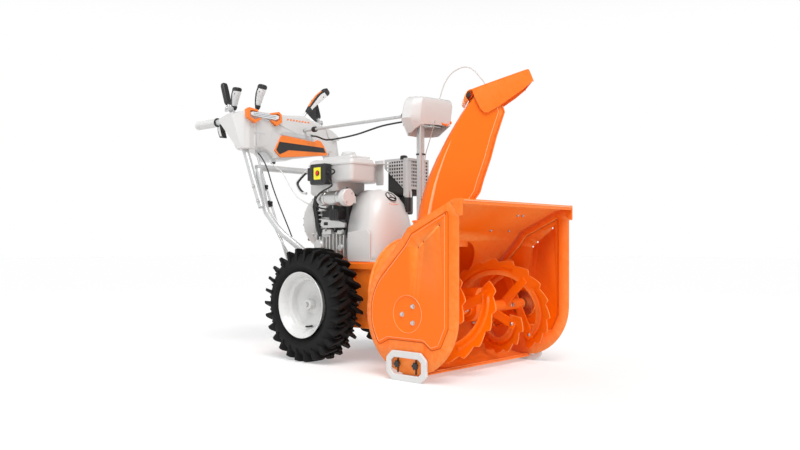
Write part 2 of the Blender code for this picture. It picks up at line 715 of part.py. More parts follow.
def levers():
    stick("speed_lever", speed_pivot, (-0.182, 1.267, 0.972), (-0.182, 1.252, 1.056), (0.0115, 0.018), WHITE)
    stick("deflector_lever", tilt_lever_pivot, (-0.119, 1.196, 0.975), (-0.119, 1.166, 1.066), (0.0115, 0.018), WHITE)
    lean = math.radians(LEVER_LEAN)
    base = (ROD_X + 0.150 * math.sin(lean), 1.2, ROD_Z + 0.150 * math.cos(lean))
    top = (ROD_X + 0.305 * math.sin(lean), 1.2, ROD_Z + 0.305 * math.cos(lean))
    hub = ring("chute_lever", "Y", (ROD_X, ROD_Z), 0.0065, 0.013, 1.190, 1.210, WHITE, rod_pivot, 16)
    grip = stick("chute_lever_grip", rod_pivot, base, top, (0.012, 0.0165), WHITE)
    grip_hole = cylinder("lever_hole", "Y", (ROD_X, ROD_Z), 0.0065, 1.15, 1.25, WHITE, rod_pivot, 16)
    unite(hub, grip)
    cut(hub, grip_hole)
    for word, side in SIDES:
        pivot = clutch_pivots[word]
        x = side * GRIP_X
        base = Vector((x, 1.222, 0.958))
        lever = ring(f"clutch_lever_{word}", "X", (base.y, base.z), 0.004, 0.010, x - 0.009, x + 0.009, GREY, pivot, 16)
        direction = Vector((0, 0.037, 0.105)).normalized()
        depth = Vector((0, direction.z, -direction.y))
        sections = []
        for reach, half in ((0.006, 0.006), (0.022, 0.007), (0.026, 0.010), (0.105, 0.011), (0.112, 0.007)):
            centre = base + direction * reach
            sections.append([
                centre + Vector((0.013 * math.cos(a), 0, 0)) + depth * half * math.sin(a)
                for a in [math.radians(22.5 + 45 * k) for k in range(8)]
            ])
        unite(lever, loft(f"paddle_{word}", sections, BLACK, pivot))


# Chute, its drive, and the cables

def on_chute(u, v, z):
    """A point from its distance ahead of the chute's axis, its distance to the side, and its height."""
    turn = math.radians(CHUTE_HEADING)
    return (u * math.sin(turn) + v * math.cos(turn), CHUTE_Y - u * math.cos(turn) + v * math.sin(turn), z)


# Each row: back (ahead, height), fold ahead of the back, front (ahead, height), half width
CHUTE_ROWS = [
    ((-0.0862, 0.499), 0.036, (0.0862, 0.499), 0.082),
    ((-0.0759, 0.554), 0.035, (0.0960, 0.555), 0.081),
    ((-0.0586, 0.616), 0.031, (0.1227, 0.593), 0.080),
    ((-0.0450, 0.655), 0.029, (0.1345, 0.635), 0.080),
    ((-0.0190, 0.715), 0.024, (0.1580, 0.705), 0.079),
    ((0.0160, 0.783), 0.018, (0.1780, 0.780), 0.078),
    ((0.0620, 0.862), 0.013, (0.2050, 0.862), 0.077),
    ((0.1035, 0.926), 0.012, (0.1985, 0.882), 0.077),
]


def chute_section(row, thin, front_shift, end_shift=0.0):
    """A ring round the chute: rounded back, flat sides, flat front."""
    (back, back_z), fold, (front, front_z), half = row
    half -= thin
    back += thin
    front += front_shift
    points = []
    for k in range(7):
        angle = math.pi * k / 6
        u = back + fold * (1 - math.sin(angle))
        points.append(on_chute(u, half * math.cos(angle), back_z + end_shift))
    points.append(on_chute(front, -half, front_z + end_shift))
    points.append(on_chute(front, half, front_z + end_shift))
    return points


def chute():
    body = loft("chute", [chute_section(row, 0, 0) for row in CHUTE_ROWS], ORANGE, chute_pivot)
    hollow = []
    for n, row in enumerate(CHUTE_ROWS):
        shift = -SHEET if n < 2 else 0.03
        hollow.append(chute_section(row, SHEET, shift, (-0.02, 0, 0, 0, 0, 0, 0, 0.01)[n]))
    hollow = loft("chute_hollow", hollow, ORANGE, chute_pivot)
    flange = ring("chute_gear", "Z", (0, CHUTE_Y), 0.080, 0.1015, NECK_TOP + GAP, 0.5005, ORANGE, chute_pivot, 24)
    unite(body, flange)
    cut(body, hollow)
    edge = [(0.0940, 0.938), (0.2857, 1.006), (0.3023, 0.966), (0.2657, 0.936), (0.189, 0.8826),
            (0.150, 0.858), (0.135, 0.858), (0.1023, 0.912)]
    inside = [(0.080, 0.9298), (0.2870, 1.0032), (0.34, 0.98), (0.34, 0.83), (0.05, 0.83)]
    outer = loft("deflector", [[on_chute(u, v, z) for u, z in edge] for v in (-0.085, 0.085)], ORANGE, tilt_pivot)
    inner = loft("deflector_inside", [[on_chute(u, v, z) for u, z in inside] for v in (-0.0822, 0.0822)],
                 ORANGE, tilt_pivot)
    cut(outer, inner)


# Plan corners of the gear cover at its widest level, each with how far it moves with the tapering right
# and left walls
COVER_PLAN = [
    ((-0.030, 0.487), 1.0), ((-0.022, 0.455), 1.0), ((0.008, 0.430), 0.6), ((0.170, 0.412), -0.8),
    ((0.180, 0.428), -1.0), ((0.180, 0.500), -0.8), ((0.142, 0.540), 0.0), ((0.030, 0.540), 1.0), ((0.000, 0.514), 1.0),
]
COVER_TAPER = ((0.800, 0.038, 0.024), (0.818, 0.034, 0.020), (0.868, 0.000, 0.012), (0.925, 0.014, 0.000),
               (0.948, 0.028, 0.000))


def cover_ring(z, thickness):
    """The cover's outline at one height: its right wall leans in above and below the widest level."""
    for low, high in zip(COVER_TAPER, COVER_TAPER[1:]):
        if low[0] <= z <= high[0]:
            share = (z - low[0]) / (high[0] - low[0])
            right, left = (a + (b - a) * share for a, b in zip(low[1:], high[1:]))
    plan = [(x + weight * (right if weight > 0 else left), y) for (x, y), weight in COVER_PLAN]
    return [(x, y, z) for x, y in (offset_path(plan + plan[:1], thickness)[:-1] if thickness else plan)]


def chute_drive():
    post = box("chute_post", (POST_X - 0.011, POST_Y - 0.011, 0.440), (POST_X + 0.011, POST_Y + 0.011, 0.868), GREY)
    foot = box("post_foot", (POST_X - 0.024, POST_Y - 0.024, 0.402), (POST_X + 0.045, POST_Y + 0.030, 0.444), GREY)
    drum_room = cylinder("drum_room", "Y", (0, IMPELLER_Z), DRUM_R + 0.0008, 0.40, 0.55, GREY, steps=32)
    unite(post, foot)
    cut(post, drum_room)
    profile = [
        (0, 0.478), (0.005, 0.478), (0.005, 0.4935), (0.0178, 0.4935), (0.0178, 0.5045), (0.005, 0.5045),
        (0.005, 0.848), (0.009, 0.848), (0.009, 0.856), (0, 0.856),
    ]
    turned("pinion_shaft", profile, "Z", (PINION_X, PINION_Y), STEEL, pinion_pivot, 14, solid=True)
    cylinder("chute_rod", "Y", (ROD_X, ROD_Z), 0.006, 0.515, 1.232, GREY, rod_pivot, 10)
    cover = loft("gear_cover", [cover_ring(z, 0.0) for z in (0.818, 0.868, 0.925, 0.948)], WHITE)
    hollow = loft("gear_hollow", [cover_ring(z, SHEET) for z in (0.800, 0.868, 0.925, 0.944)], WHITE)
    slope_profile = [(0.30, 0.80), (0.478, 0.80), (0.478, 0.815), (0.425, 0.850), (0.30, 0.858)]
    slope = prism("gear_slope", slope_profile, "X", -0.2, 0.3, WHITE)
    way = cylinder("gear_rod_way", "Y", (ROD_X, ROD_Z), 0.0085, 0.50, 0.60, WHITE, steps=16)
    cut(cover, hollow, slope, way)


def cables():
    cable(
        "deflector_cable",
        [(0.115, 0.430, 0.9510), (0.122, 0.415, 0.998), (0.131, 0.394, 1.033), (0.142, 0.366, 1.052),
         (0.151, 0.341, 1.057), (0.160, 0.316, 1.048), (0.169, 0.292, 1.021), (0.179, 0.273, 0.991),
         (0.186, 0.262, 0.950), (0.1875, 0.2595, 0.905)],
        0.0022, PALE,
    )
    cable(
        "control_cable",
        [(0.085, 1.0975, 0.871), (0.085, 1.060, 0.864), (0.085, 1.005, 0.846), (0.085, 0.920, 0.846),
         (0.085, 0.830, 0.852), (0.085, 0.760, 0.862), (0.085, 0.690, 0.872), (0.085, 0.610, 0.876),
         (0.085, 0.5415, 0.877)],
        0.0035, BLACK,
    )
    cable(
        "clutch_cable",
        [(-0.178, 1.118, 0.779), (-0.178, 1.092, 0.757), (-0.177, 1.062, 0.716), (-0.174, 1.030, 0.640),
         (-0.168, 0.992, 0.560), (-0.160, 0.952, 0.480), (-0.148, 0.925, 0.410), (-0.125, 0.910, 0.350)],
        0.0035, BLACK,
    )


clear_scene()

ORANGE = material("orange_paint", (0.90, 0.20, 0.02), 0.35)
WHITE = material("white_shell", (0.80, 0.79, 0.77), 0.40)
PALE = material("pale_plastic", (0.70, 0.70, 0.70), 0.50)
GREY = material("grey_paint", (0.62, 0.63, 0.63), 0.40)
BLACK = material("black_rubber", (0.02, 0.02, 0.02), 0.60)
STEEL = material("steel", (0.55, 0.55, 0.55), 0.35, 1.0)
METAL = material("cast_aluminium", (0.60, 0.60, 0.60), 0.45, 0.8)
CHROME = material("lamp_metal", (0.75, 0.75, 0.75), 0.20, 1.0)
RED = material("red_plastic", (0.70, 0.05, 0.03), 0.40)

machine = empty("machine", (0, -LIP_TO_ORIGIN, 0))
auger_pivot = empty("auger_axis", (0, AUGER_Y, AUGER_Z), machine)
impeller_pivot = empty("impeller_axis", (0, 0.411, IMPELLER_Z), machine)
crank_pivot = empty("crank_axis", (0, BELT_Y, CRANK_Z), machine)
wheel_pivots = {word: empty(f"wheel_axis_{word}", (side * 0.226, WHEEL_Y, WHEEL_Z), machine) for word, side in SIDES}
chute_pivot = empty("chute_axis", (0, CHUTE_Y, 0.5), machine)
tilt_pivot = empty("deflector_axis", on_chute(0.112, 0, 0.915), machine)
pinion_pivot = empty("pinion_axis", (PINION_X, PINION_Y, 0.5), machine)
rod_pivot = empty("chute_rod_axis", (ROD_X, 1.2, ROD_Z), machine)
speed_pivot = empty("speed_lever_axis", (-0.182, 1.272, 0.905), machine)
tilt_lever_pivot = empty("deflector_lever_axis", (-0.119, 1.212, 0.905), machine)
clutch_pivots = {word: empty(f"clutch_axis_{word}", (side * GRIP_X, 1.222, 0.958), machine) for word, side in SIDES}
recoil_pivot = empty("recoil_line", (-0.115, 0.92, 0.65), machine)
button_pivot = empty("button_line", (-0.18, BUTTON_Y, BUTTON_Z), machine)
key_pivot = empty("key_line", (-0.17, 0.72, 0.679), machine)
cap_pivot = empty("cap_axis", (-0.065, 0.72, 0.75), machine)

for part_word, part_side in SIDES:
    side_plate(part_word, part_side)
    skid_shoe(part_word, part_side)
    auger_bearing(part_word, part_side)
    wheel(part_word, part_side)
housing_back()
scraper_blade()
auger_rake("right", -1, 40.0)
auger_rake("left", 1, 170.0)
auger_shaft()
gear_case()
impeller_housing()
impeller()
pulleys_and_belt()
tractor_frame()
belt_cover()
engine()
fuel_tank()
starter_and_switch()
exhaust()
handlebars()
console()
levers()
chute()
chute_drive()
cables()
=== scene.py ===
"""Looks of the two-stage snow blower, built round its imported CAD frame.

Shapes are written in the machine's own frame, in metres: X across the machine, Z up, and Y from
the auger housing's front edge back to the grips. ORIGIN moves that frame into the model's.
"""

import json
import math

import bmesh
import bpy
from mathutils import Matrix, Vector


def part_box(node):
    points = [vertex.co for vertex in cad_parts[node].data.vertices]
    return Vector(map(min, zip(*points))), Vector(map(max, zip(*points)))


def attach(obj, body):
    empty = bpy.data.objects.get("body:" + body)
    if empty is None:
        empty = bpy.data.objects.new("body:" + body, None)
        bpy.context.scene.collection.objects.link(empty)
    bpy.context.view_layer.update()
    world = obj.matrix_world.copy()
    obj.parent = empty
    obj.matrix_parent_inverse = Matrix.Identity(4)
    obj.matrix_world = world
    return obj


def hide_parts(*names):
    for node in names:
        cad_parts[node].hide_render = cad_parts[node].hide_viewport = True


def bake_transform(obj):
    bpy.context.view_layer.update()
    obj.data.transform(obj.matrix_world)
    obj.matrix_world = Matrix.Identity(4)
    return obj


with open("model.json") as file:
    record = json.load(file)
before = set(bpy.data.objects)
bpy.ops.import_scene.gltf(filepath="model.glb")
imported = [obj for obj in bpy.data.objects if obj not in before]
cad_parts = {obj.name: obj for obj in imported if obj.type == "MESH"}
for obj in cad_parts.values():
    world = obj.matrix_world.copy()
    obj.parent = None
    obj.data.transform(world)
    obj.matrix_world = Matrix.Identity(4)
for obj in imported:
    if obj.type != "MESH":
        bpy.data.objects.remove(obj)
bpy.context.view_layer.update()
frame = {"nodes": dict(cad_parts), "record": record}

HOUSING_LIP_Y = -0.004
ORIGIN = Vector((0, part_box("housing_back")[0].y - HOUSING_LIP_Y, 0))

# Driving dimensions, the same as the CAD part's
SHEET = 0.003
PLATE_X = 0.312
AUGER_Y, AUGER_Z = 0.195, 0.205
SCROLL_R = 0.185
AUGER_R = 0.165
IMPELLER_Z = 0.245
DRUM_R = 0.193
DRUM_REAR = 0.5
CHUTE_Y = 0.325
NECK_TOP = 0.4925
CHUTE_HEADING = 42.0
WHEEL_Y, WHEEL_Z = 0.739, 0.203
WHEEL_INNER, WHEEL_OUTER = 0.165, 0.2875
FRAME_X, FRAME_TOP = 0.13, 0.355
COVER_X = -0.01
POST_X, POST_Y = 0.054, 0.469
PINION_X, PINION_Y = 0.0235, 0.4429
ROD_X, ROD_Z = 0.05, 0.889
LEG_X = 0.2
UPPER_X = 0.2275
GRIP_X, GRIP_Z = 0.24, 0.91
TUBE_R = 0.0127
CONSOLE_FRONT = 1.1
SIDES = (("right", -1), ("left", 1))

# Materials

RELIEF_DEPTH = 0.0004
COAT_ROUGHNESS = 0.08
WORN_FROM, WORN_TO = 0.53, 0.6


def surface(name, colour, roughness, metallic=0.0, mottle=0.04, grain=900.0, bump=0.08,
            spread=0.06, coat=0.0, wear=None, broad=7.0, specular=0.5):
    """A procedural finish: slow colour drift, uneven gloss, fine grain and, where given, worn edges."""
    made = bpy.data.materials.new(name)
    made.use_nodes = True
    nodes, links = made.node_tree.nodes, made.node_tree.links
    shader = nodes["Principled BSDF"]
    shader.inputs["Metallic"].default_value = metallic
    shader.inputs["Coat Weight"].default_value = coat
    shader.inputs["Specular IOR Level"].default_value = specular
    shader.inputs["Coat Roughness"].default_value = COAT_ROUGHNESS
    place = nodes.new("ShaderNodeTexCoord").outputs["Object"]

    def noise(scale, detail):
        node = nodes.new("ShaderNodeTexNoise")
        node.inputs["Scale"].default_value = scale
        node.inputs["Detail"].default_value = detail
        links.new(place, node.inputs["Vector"])
        return node.outputs["Fac"]

    def blend_colours(factor, first, second):
        node = nodes.new("ShaderNodeMix")
        node.data_type = "RGBA"
        links.new(factor, node.inputs[0])
        for socket, value in ((node.inputs[6], first), (node.inputs[7], second)):
            if isinstance(value, tuple):
                socket.default_value = (*value, 1.0)
            else:
                links.new(value, socket)
        return node.outputs[2]

    slow, fine = noise(broad, 4.0), noise(grain, 2.0)
    dark = tuple(c * (1 - mottle) for c in colour)
    light = tuple(min(1.0, c * (1 + mottle)) for c in colour)
    colour_out = blend_colours(slow, dark, light)
    if wear:
        edge = nodes.new("ShaderNodeNewGeometry").outputs["Pointiness"]
        narrow = nodes.new("ShaderNodeMapRange")
        narrow.inputs["From Min"].default_value = WORN_FROM
        narrow.inputs["From Max"].default_value = WORN_TO
        links.new(edge, narrow.inputs["Value"])
        scratch = nodes.new("ShaderNodeMath")
        scratch.operation = "MULTIPLY"
        links.new(narrow.outputs["Result"], scratch.inputs[0])
        links.new(noise(60.0, 5.0), scratch.inputs[1])
        colour_out = blend_colours(scratch.outputs[0], colour_out, wear)
    links.new(colour_out, shader.inputs["Base Color"])
    gloss = nodes.new("ShaderNodeMapRange")
    gloss.inputs["To Min"].default_value = max(0.03, roughness - spread)
    gloss.inputs["To Max"].default_value = roughness + spread
    links.new(noise(broad * 4, 5.0), gloss.inputs["Value"])
    links.new(gloss.outputs["Result"], shader.inputs["Roughness"])
    relief = nodes.new("ShaderNodeBump")
    relief.inputs["Strength"].default_value = bump
    relief.inputs["Distance"].default_value = RELIEF_DEPTH
    links.new(fine, relief.inputs["Height"])
    links.new(relief.outputs["Normal"], shader.inputs["Normal"])
    return made


ORANGE = surface("orange_paint", (0.97, 0.165, 0.0), 0.4, mottle=0.03, grain=500, bump=0.1, coat=0.03,
                 wear=(1.0, 0.42, 0.12), specular=0.25)
# Lighter orange, painted as the highlights on thin lines and beads along ridges, folds and the lip
PAINTED_HIGHLIGHT = surface("orange_painted_highlight", (1.0, 0.4, 0.16), 0.14, mottle=0.02, grain=700, bump=0.02, coat=1.0)
# Dark orange, painted as the shade in the crease at the foot of the side plates' pressed step
PAINTED_CREASE_SHADE = surface("orange_painted_crease_shade", (0.5, 0.06, 0.0), 0.5, mottle=0.05, grain=900, bump=0.05, specular=0.2)
WHITE = surface("white_shell", (0.66, 0.65, 0.64), 0.36, mottle=0.02, grain=1500, bump=0.1, coat=0.15)
RIM_WHITE = surface("white_rim", (0.66, 0.66, 0.65), 0.28, mottle=0.03, grain=600, bump=0.06, coat=0.3)
LEVER = surface("lever_plastic", (0.72, 0.72, 0.72), 0.28, mottle=0.02, grain=1500, bump=0.05)
PALE = surface("pale_plastic", (0.66, 0.66, 0.65), 0.5, mottle=0.04, grain=1200, bump=0.25)
GREY = surface("grey_paint", (0.58, 0.59, 0.59), 0.32, metallic=0.25, mottle=0.04, grain=700, bump=0.08,
               coat=0.2)
TYRE = surface("tyre_rubber", (0.006, 0.006, 0.006), 0.66, mottle=0.35, grain=900, bump=0.3, spread=0.12,
               broad=25, specular=0.22)
BLACK = surface("black_plastic", (0.018, 0.018, 0.019), 0.42, mottle=0.15, grain=1300, bump=0.2)
BELT = surface("belt_rubber", (0.022, 0.022, 0.022), 0.7, mottle=0.2, grain=1000, bump=0.4)
STEEL = surface("steel", (0.62, 0.62, 0.61), 0.3, metallic=1.0, mottle=0.08, grain=1200, bump=0.1,
                spread=0.1)
METAL = surface("cast_aluminium", (0.66, 0.66, 0.65), 0.4, metallic=0.55, mottle=0.12, grain=450, bump=0.45,
                spread=0.1)
CHROME = surface("lamp_metal", (0.8, 0.81, 0.83), 0.16, metallic=1.0, mottle=0.05, grain=900, bump=0.03,
                 spread=0.05)
RED = surface("red_plastic", (0.7, 0.02, 0.015), 0.3, mottle=0.05, bump=0.05)
YELLOW = surface("yellow_label", (0.9, 0.8, 0.02), 0.45, mottle=0.03, bump=0.05)
TRIM = surface("orange_trim", (0.95, 0.22, 0.02), 0.35, mottle=0.03, grain=1200, bump=0.08)
# Near-black, painted as the shade in slots, crevices and hollows; on the silencer it is also its own black
PAINTED_SHADE_BLACK = surface("painted_shade_black", (0.03, 0.03, 0.03), 0.75, mottle=0.2, bump=0.2)
ROPE = surface("rope", (0.55, 0.54, 0.51), 0.8, mottle=0.15, grain=2500, bump=0.6)

NODE_FINISH = {
    "orange_paint": ORANGE, "white_shell": WHITE, "white_rim": RIM_WHITE, "lever_plastic": LEVER,
    "pale_plastic": PALE, "grey_paint": GREY, "tyre_rubber": TYRE, "black_plastic": BLACK,
    "belt_rubber": BELT, "steel": STEEL, "cast_aluminium": METAL, "lamp_metal": CHROME, "red_plastic": RED,
}
for subpart in frame["record"]["subparts"]:
    mesh = frame["nodes"][subpart["node"]].data
    mesh.materials.clear()
    mesh.materials.append(NODE_FINISH[subpart["material_slot"]])

# Mesh helpers

SHARP_ANGLE = 35


def settle(obj, mat, body="root", replaces=(), bevel=0.0, segments=2):
    """Gives a piece its place, finish, rounding and body."""
    obj.data.materials.append(mat)
    bpy.context.scene.collection.objects.link(obj)
    obj.location = ORIGIN
    if bevel:
        modifier = obj.modifiers.new("edges", "BEVEL")
        modifier.width = bevel
        modifier.segments = segments
        modifier.limit_method = "ANGLE"
        modifier.angle_limit = math.radians(SHARP_ANGLE)
        modifier.harden_normals = True
    if body:
        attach(obj, body)
    if replaces:
        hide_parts(*replaces)
    return obj


def piece(name, bm, mat, body="root", replaces=(), sharp=SHARP_ANGLE, **finish):
    """Makes one named piece, with edges over an angle kept sharp. Without a body, it is a tool for a cut."""
    bmesh.ops.recalc_face_normals(bm, faces=bm.faces)
    mesh = bpy.data.meshes.new(name)
    bm.to_mesh(mesh)
    bm.free()
    mesh.shade_smooth()
    mesh.set_sharp_from_angle(angle=math.radians(sharp))
    return settle(bpy.data.objects.new(name, mesh), mat, body, replaces, **finish)


def thicken(obj, thickness, offset=-1):
    """Gives a sheet its thickness, behind its faces unless the offset says otherwise."""
    modifier = obj.modifiers.new("shell", "SOLIDIFY")
    modifier.thickness = thickness
    modifier.offset = offset


def along(axis, pair, value):
    """The point at one value along an axis, from its other two coordinates."""
    a, b = pair
    return Vector({"X": (value, a, b), "Y": (a, value, b), "Z": (a, b, value)}[axis])


def arc(centre, radius, start, end, count):
    """Points round a centre, with the angles in degrees."""
    angles = [math.radians(start + (end - start) * k / count) for k in range(count + 1)]
    return [(centre[0] + radius * math.cos(a), centre[1] + radius * math.sin(a)) for a in angles]


def rounded(points, radius, steps=4):
    """A closed outline with its corners rounded."""
    made = []
    for i, corner in enumerate(points):
        corner = Vector(corner)
        back = Vector(points[i - 1]) - corner
        ahead = Vector(points[(i + 1) % len(points)]) - corner
        turn = back.angle(ahead, math.pi)
        reach = radius / max(0.05, math.tan(turn / 2))
        start = corner + back.normalized() * min(reach, back.length * 0.45)
        end = corner + ahead.normalized() * min(reach, ahead.length * 0.45)
        for k in range(steps + 1):
            t = k / steps
            made.append(tuple(start * (1 - t) ** 2 + corner * 2 * t * (1 - t) + end * t * t))
    return made


def rectangle(x, y, half_x, half_y):
    """An outline from its centre and half sizes."""
    return [(x - half_x, y - half_y), (x + half_x, y - half_y), (x + half_x, y + half_y),
            (x - half_x, y + half_y)]


def inset(points, distance):
    """A closed outline moved inwards, whichever way round it runs."""
    area = sum(a[0] * b[1] - b[0] * a[1] for a, b in zip(points, points[1:] + points[:1]))
    way = 1 if area > 0 else -1
    moved = []
    for i, point in enumerate(points):
        before = (Vector(point) - Vector(points[i - 1])).normalized()
        after = (Vector(points[(i + 1) % len(points)]) - Vector(point)).normalized()
        side = Vector((-before.y - after.y, before.x + after.x)).normalized() * way
        lean = max(0.5, abs(side.dot(Vector((-after.y, after.x)))))
        moved.append(tuple(Vector(point) + side * distance / lean))
    return moved


def band(bm, first, second, closed=True):
    """Faces between two rows of vertices of the same length."""
    for i in range(len(first) if closed else len(first) - 1):
        j = (i + 1) % len(first)
        bm.faces.new((first[i], first[j], second[j], second[i]))


def skin(bm, rows, closed=True):
    """Faces between each row of vertices and the next."""
    for first, second in zip(rows, rows[1:]):
        band(bm, first, second, closed)


def tube_mesh(bm, rings, caps=True):
    """A skin over closed rings of points, with a flat cap at each end."""
    rows = [[bm.verts.new(point) for point in ring] for ring in rings]
    skin(bm, rows)
    if caps:
        bm.faces.new(rows[0])
        bm.faces.new(rows[-1])


def lofted(name, rings, mat, body="root", **finish):
    bm = bmesh.new()
    tube_mesh(bm, rings)
    return piece(name, bm, mat, body, **finish)


def stacked(name, outline, levels, mat, **finish):
    """An upright block from an outline, given (height, how far it is moved in) for each level."""
    return lofted(name, [[(x, y, z) for x, y in inset(outline, shrink)] for z, shrink in levels], mat,
                  **finish)


def add_prism(bm, outline, axis, start, end):
    """A flat-sided block: an outline drawn out along an axis."""
    tube_mesh(bm, [[along(axis, pair, value) for pair in outline] for value in (start, end)])


def prism(name, outline, axis, start, end, mat, body="root", **finish):
    bm = bmesh.new()
    add_prism(bm, outline, axis, start, end)
    return piece(name, bm, mat, body, **finish)


def add_box(bm, low, high):
    low, high = Vector(low), Vector(high)
    made = bmesh.ops.create_cube(bm, size=1.0)["verts"]
    bmesh.ops.scale(bm, vec=high - low, verts=made)
    bmesh.ops.translate(bm, vec=(high + low) / 2, verts=made)


def boxes(name, corners, mat, body="root", **finish):
    bm = bmesh.new()
    for low, high in corners:
        add_box(bm, low, high)
    return piece(name, bm, mat, body, **finish)


def add_turned(bm, profile, axis, centre, steps=48, closed=False):
    """Turns (radius, along) points round an axis, with caps where the profile ends off the axis."""
    rows = []
    for radius, height in profile:
        ring = []
        for k in range(steps if radius > 0 else 1):
            a = 2 * math.pi * k / steps
            ring.append(bm.verts.new(
                along(axis, (centre[0] + radius * math.cos(a), centre[1] + radius * math.sin(a)), height)))
        rows.append(ring)
    for first, second in zip(rows, rows[1:] + (rows[:1] if closed else [])):
        if len(first) == 1 or len(second) == 1:
            tip, rest = (first[0], second) if len(first) == 1 else (second[0], first)
            for k in range(steps):
                bm.faces.new((tip, rest[k], rest[(k + 1) % steps]))
        else:
            band(bm, first, second)


def turned(name, profile, axis, centre, mat, body="root", steps=48, closed=False, **finish):
    bm = bmesh.new()
    add_turned(bm, profile, axis, centre, steps, closed)
    return piece(name, bm, mat, body, **finish)


def drill(name, radius, low, high, axis, centre, steps=48):
    """A round tool that cuts from one value to another along an axis."""
    return turned(name, [(0, low), (radius, low), (radius, high), (0, high)], axis, centre, PAINTED_SHADE_BLACK, body=None,
                  steps=steps)


def smooth_path(points, per_span=6):
    """A Catmull-Rom curve through the points."""
    route = [Vector(p) for p in points]
    ends = [2 * route[0] - route[1]] + route + [2 * route[-1] - route[-2]]
    made = []
    for i in range(len(route) - 1):
        a, b, c, d = ends[i : i + 4]
        for k in range(per_span):
            t = k / per_span
            made.append(0.5 * (2 * b + (c - a) * t + (2 * a - 5 * b + 4 * c - d) * t**2
                               + (3 * b - a - 3 * c + d) * t**3))
    return made + [route[-1]]


def add_sweep(bm, route, section):
    """Sweeps a closed section of (side, up) points along a route."""
    route = [Vector(p) for p in route]
    rings, side = [], None
    for i, point in enumerate(route):
        ahead = (route[min(i + 1, len(route) - 1)] - route[max(i - 1, 0)]).normalized()
        side = ahead.orthogonal() if side is None else side
        side = (side - ahead * side.dot(ahead)).normalized()
        up = ahead.cross(side)
        rings.append([point + a * side + b * up for a, b in section])
    tube_mesh(bm, rings)


def circle(radius, sides=14, centre=(0, 0)):
    return arc(centre, radius, 0, 360 - 360 / sides, sides - 1)


def tube(name, points, radius, mat, body="root", per_span=6, sides=16, smooth=True, **finish):
    bm = bmesh.new()
    add_sweep(bm, smooth_path(points, per_span) if smooth else points, circle(radius, sides))
    return piece(name, bm, mat, body, **finish)


def add_bolt(bm, at, direction, radius=0.006, height=0.005, washer=1.5, sides=6):
    """A hex or round head on its washer, standing along a direction."""
    turn = Vector(direction).to_track_quat("Z", "Y").to_matrix()
    washer_part, head = (radius * washer, 0, 0.0012, 20), (radius, 0.001, height, sides)
    end = (radius * 0.55, height * 0.8, height + 0.0012, 12)
    for r, low, high, count in (washer_part, head, end):
        rings = [[Vector(at) + turn @ Vector((x, y, z)) for x, y in circle(scale * r, count)]
                 for z, scale in ((low, 1), (high - 0.0008, 1), (high, 0.86))]
        tube_mesh(bm, rings)


def bolts(name, places, direction, mat=STEEL, body="root", **size):
    bm = bmesh.new()
    for at in places:
        add_bolt(bm, at, direction, **size)
    return piece(name, bm, mat, body, sharp=30)


def fill_between(bm, *loops):
    """Flat faces inside the first loop and outside the others."""
    edges = []
    for loop in loops:
        for i, vert in enumerate(loop):
            other = loop[(i + 1) % len(loop)]
            edges.append(bm.edges.get((vert, other)) or bm.edges.new((vert, other)))
    bmesh.ops.triangle_fill(bm, use_beauty=True, use_dissolve=False, edges=edges)

# Housing: side plates, back sheet, scraper, shoes and drum

TOP_EDGE = [(0.025, 0.551), (0.062, 0.537), (0.207, 0.469), (0.232, 0.438)]
AUGER_AXIS = (AUGER_Y, AUGER_Z)
PRESS_H = 0.006
HUB = (0.203, 0.206)


def housing_outline(inward):
    """The ceiling's slope and the scroll behind the auger, as (Y, Z), moved in by a distance."""
    drop = [(y, z - inward) for y, z in TOP_EDGE]
    return drop + arc(AUGER_AXIS, SCROLL_R - inward, 44, -96, 40)


def stepped(bm, outline, width, height, plane, side):
    """Rows up a pressed step with tight bends, between two narrow flat margins."""
    margin, bend = 0.0012 / width, 0.12
    rows = []
    for t, rise in ((-margin, 0), (0, 0), (bend, 0.04), (1 - bend, 0.96), (1, 1), (1 + margin, 1)):
        loop = inset(outline, width * t)
        rows.append([bm.verts.new((plane + side * height * rise, y, z)) for y, z in loop])
    skin(bm, rows)
    return rows[0], rows[-1]


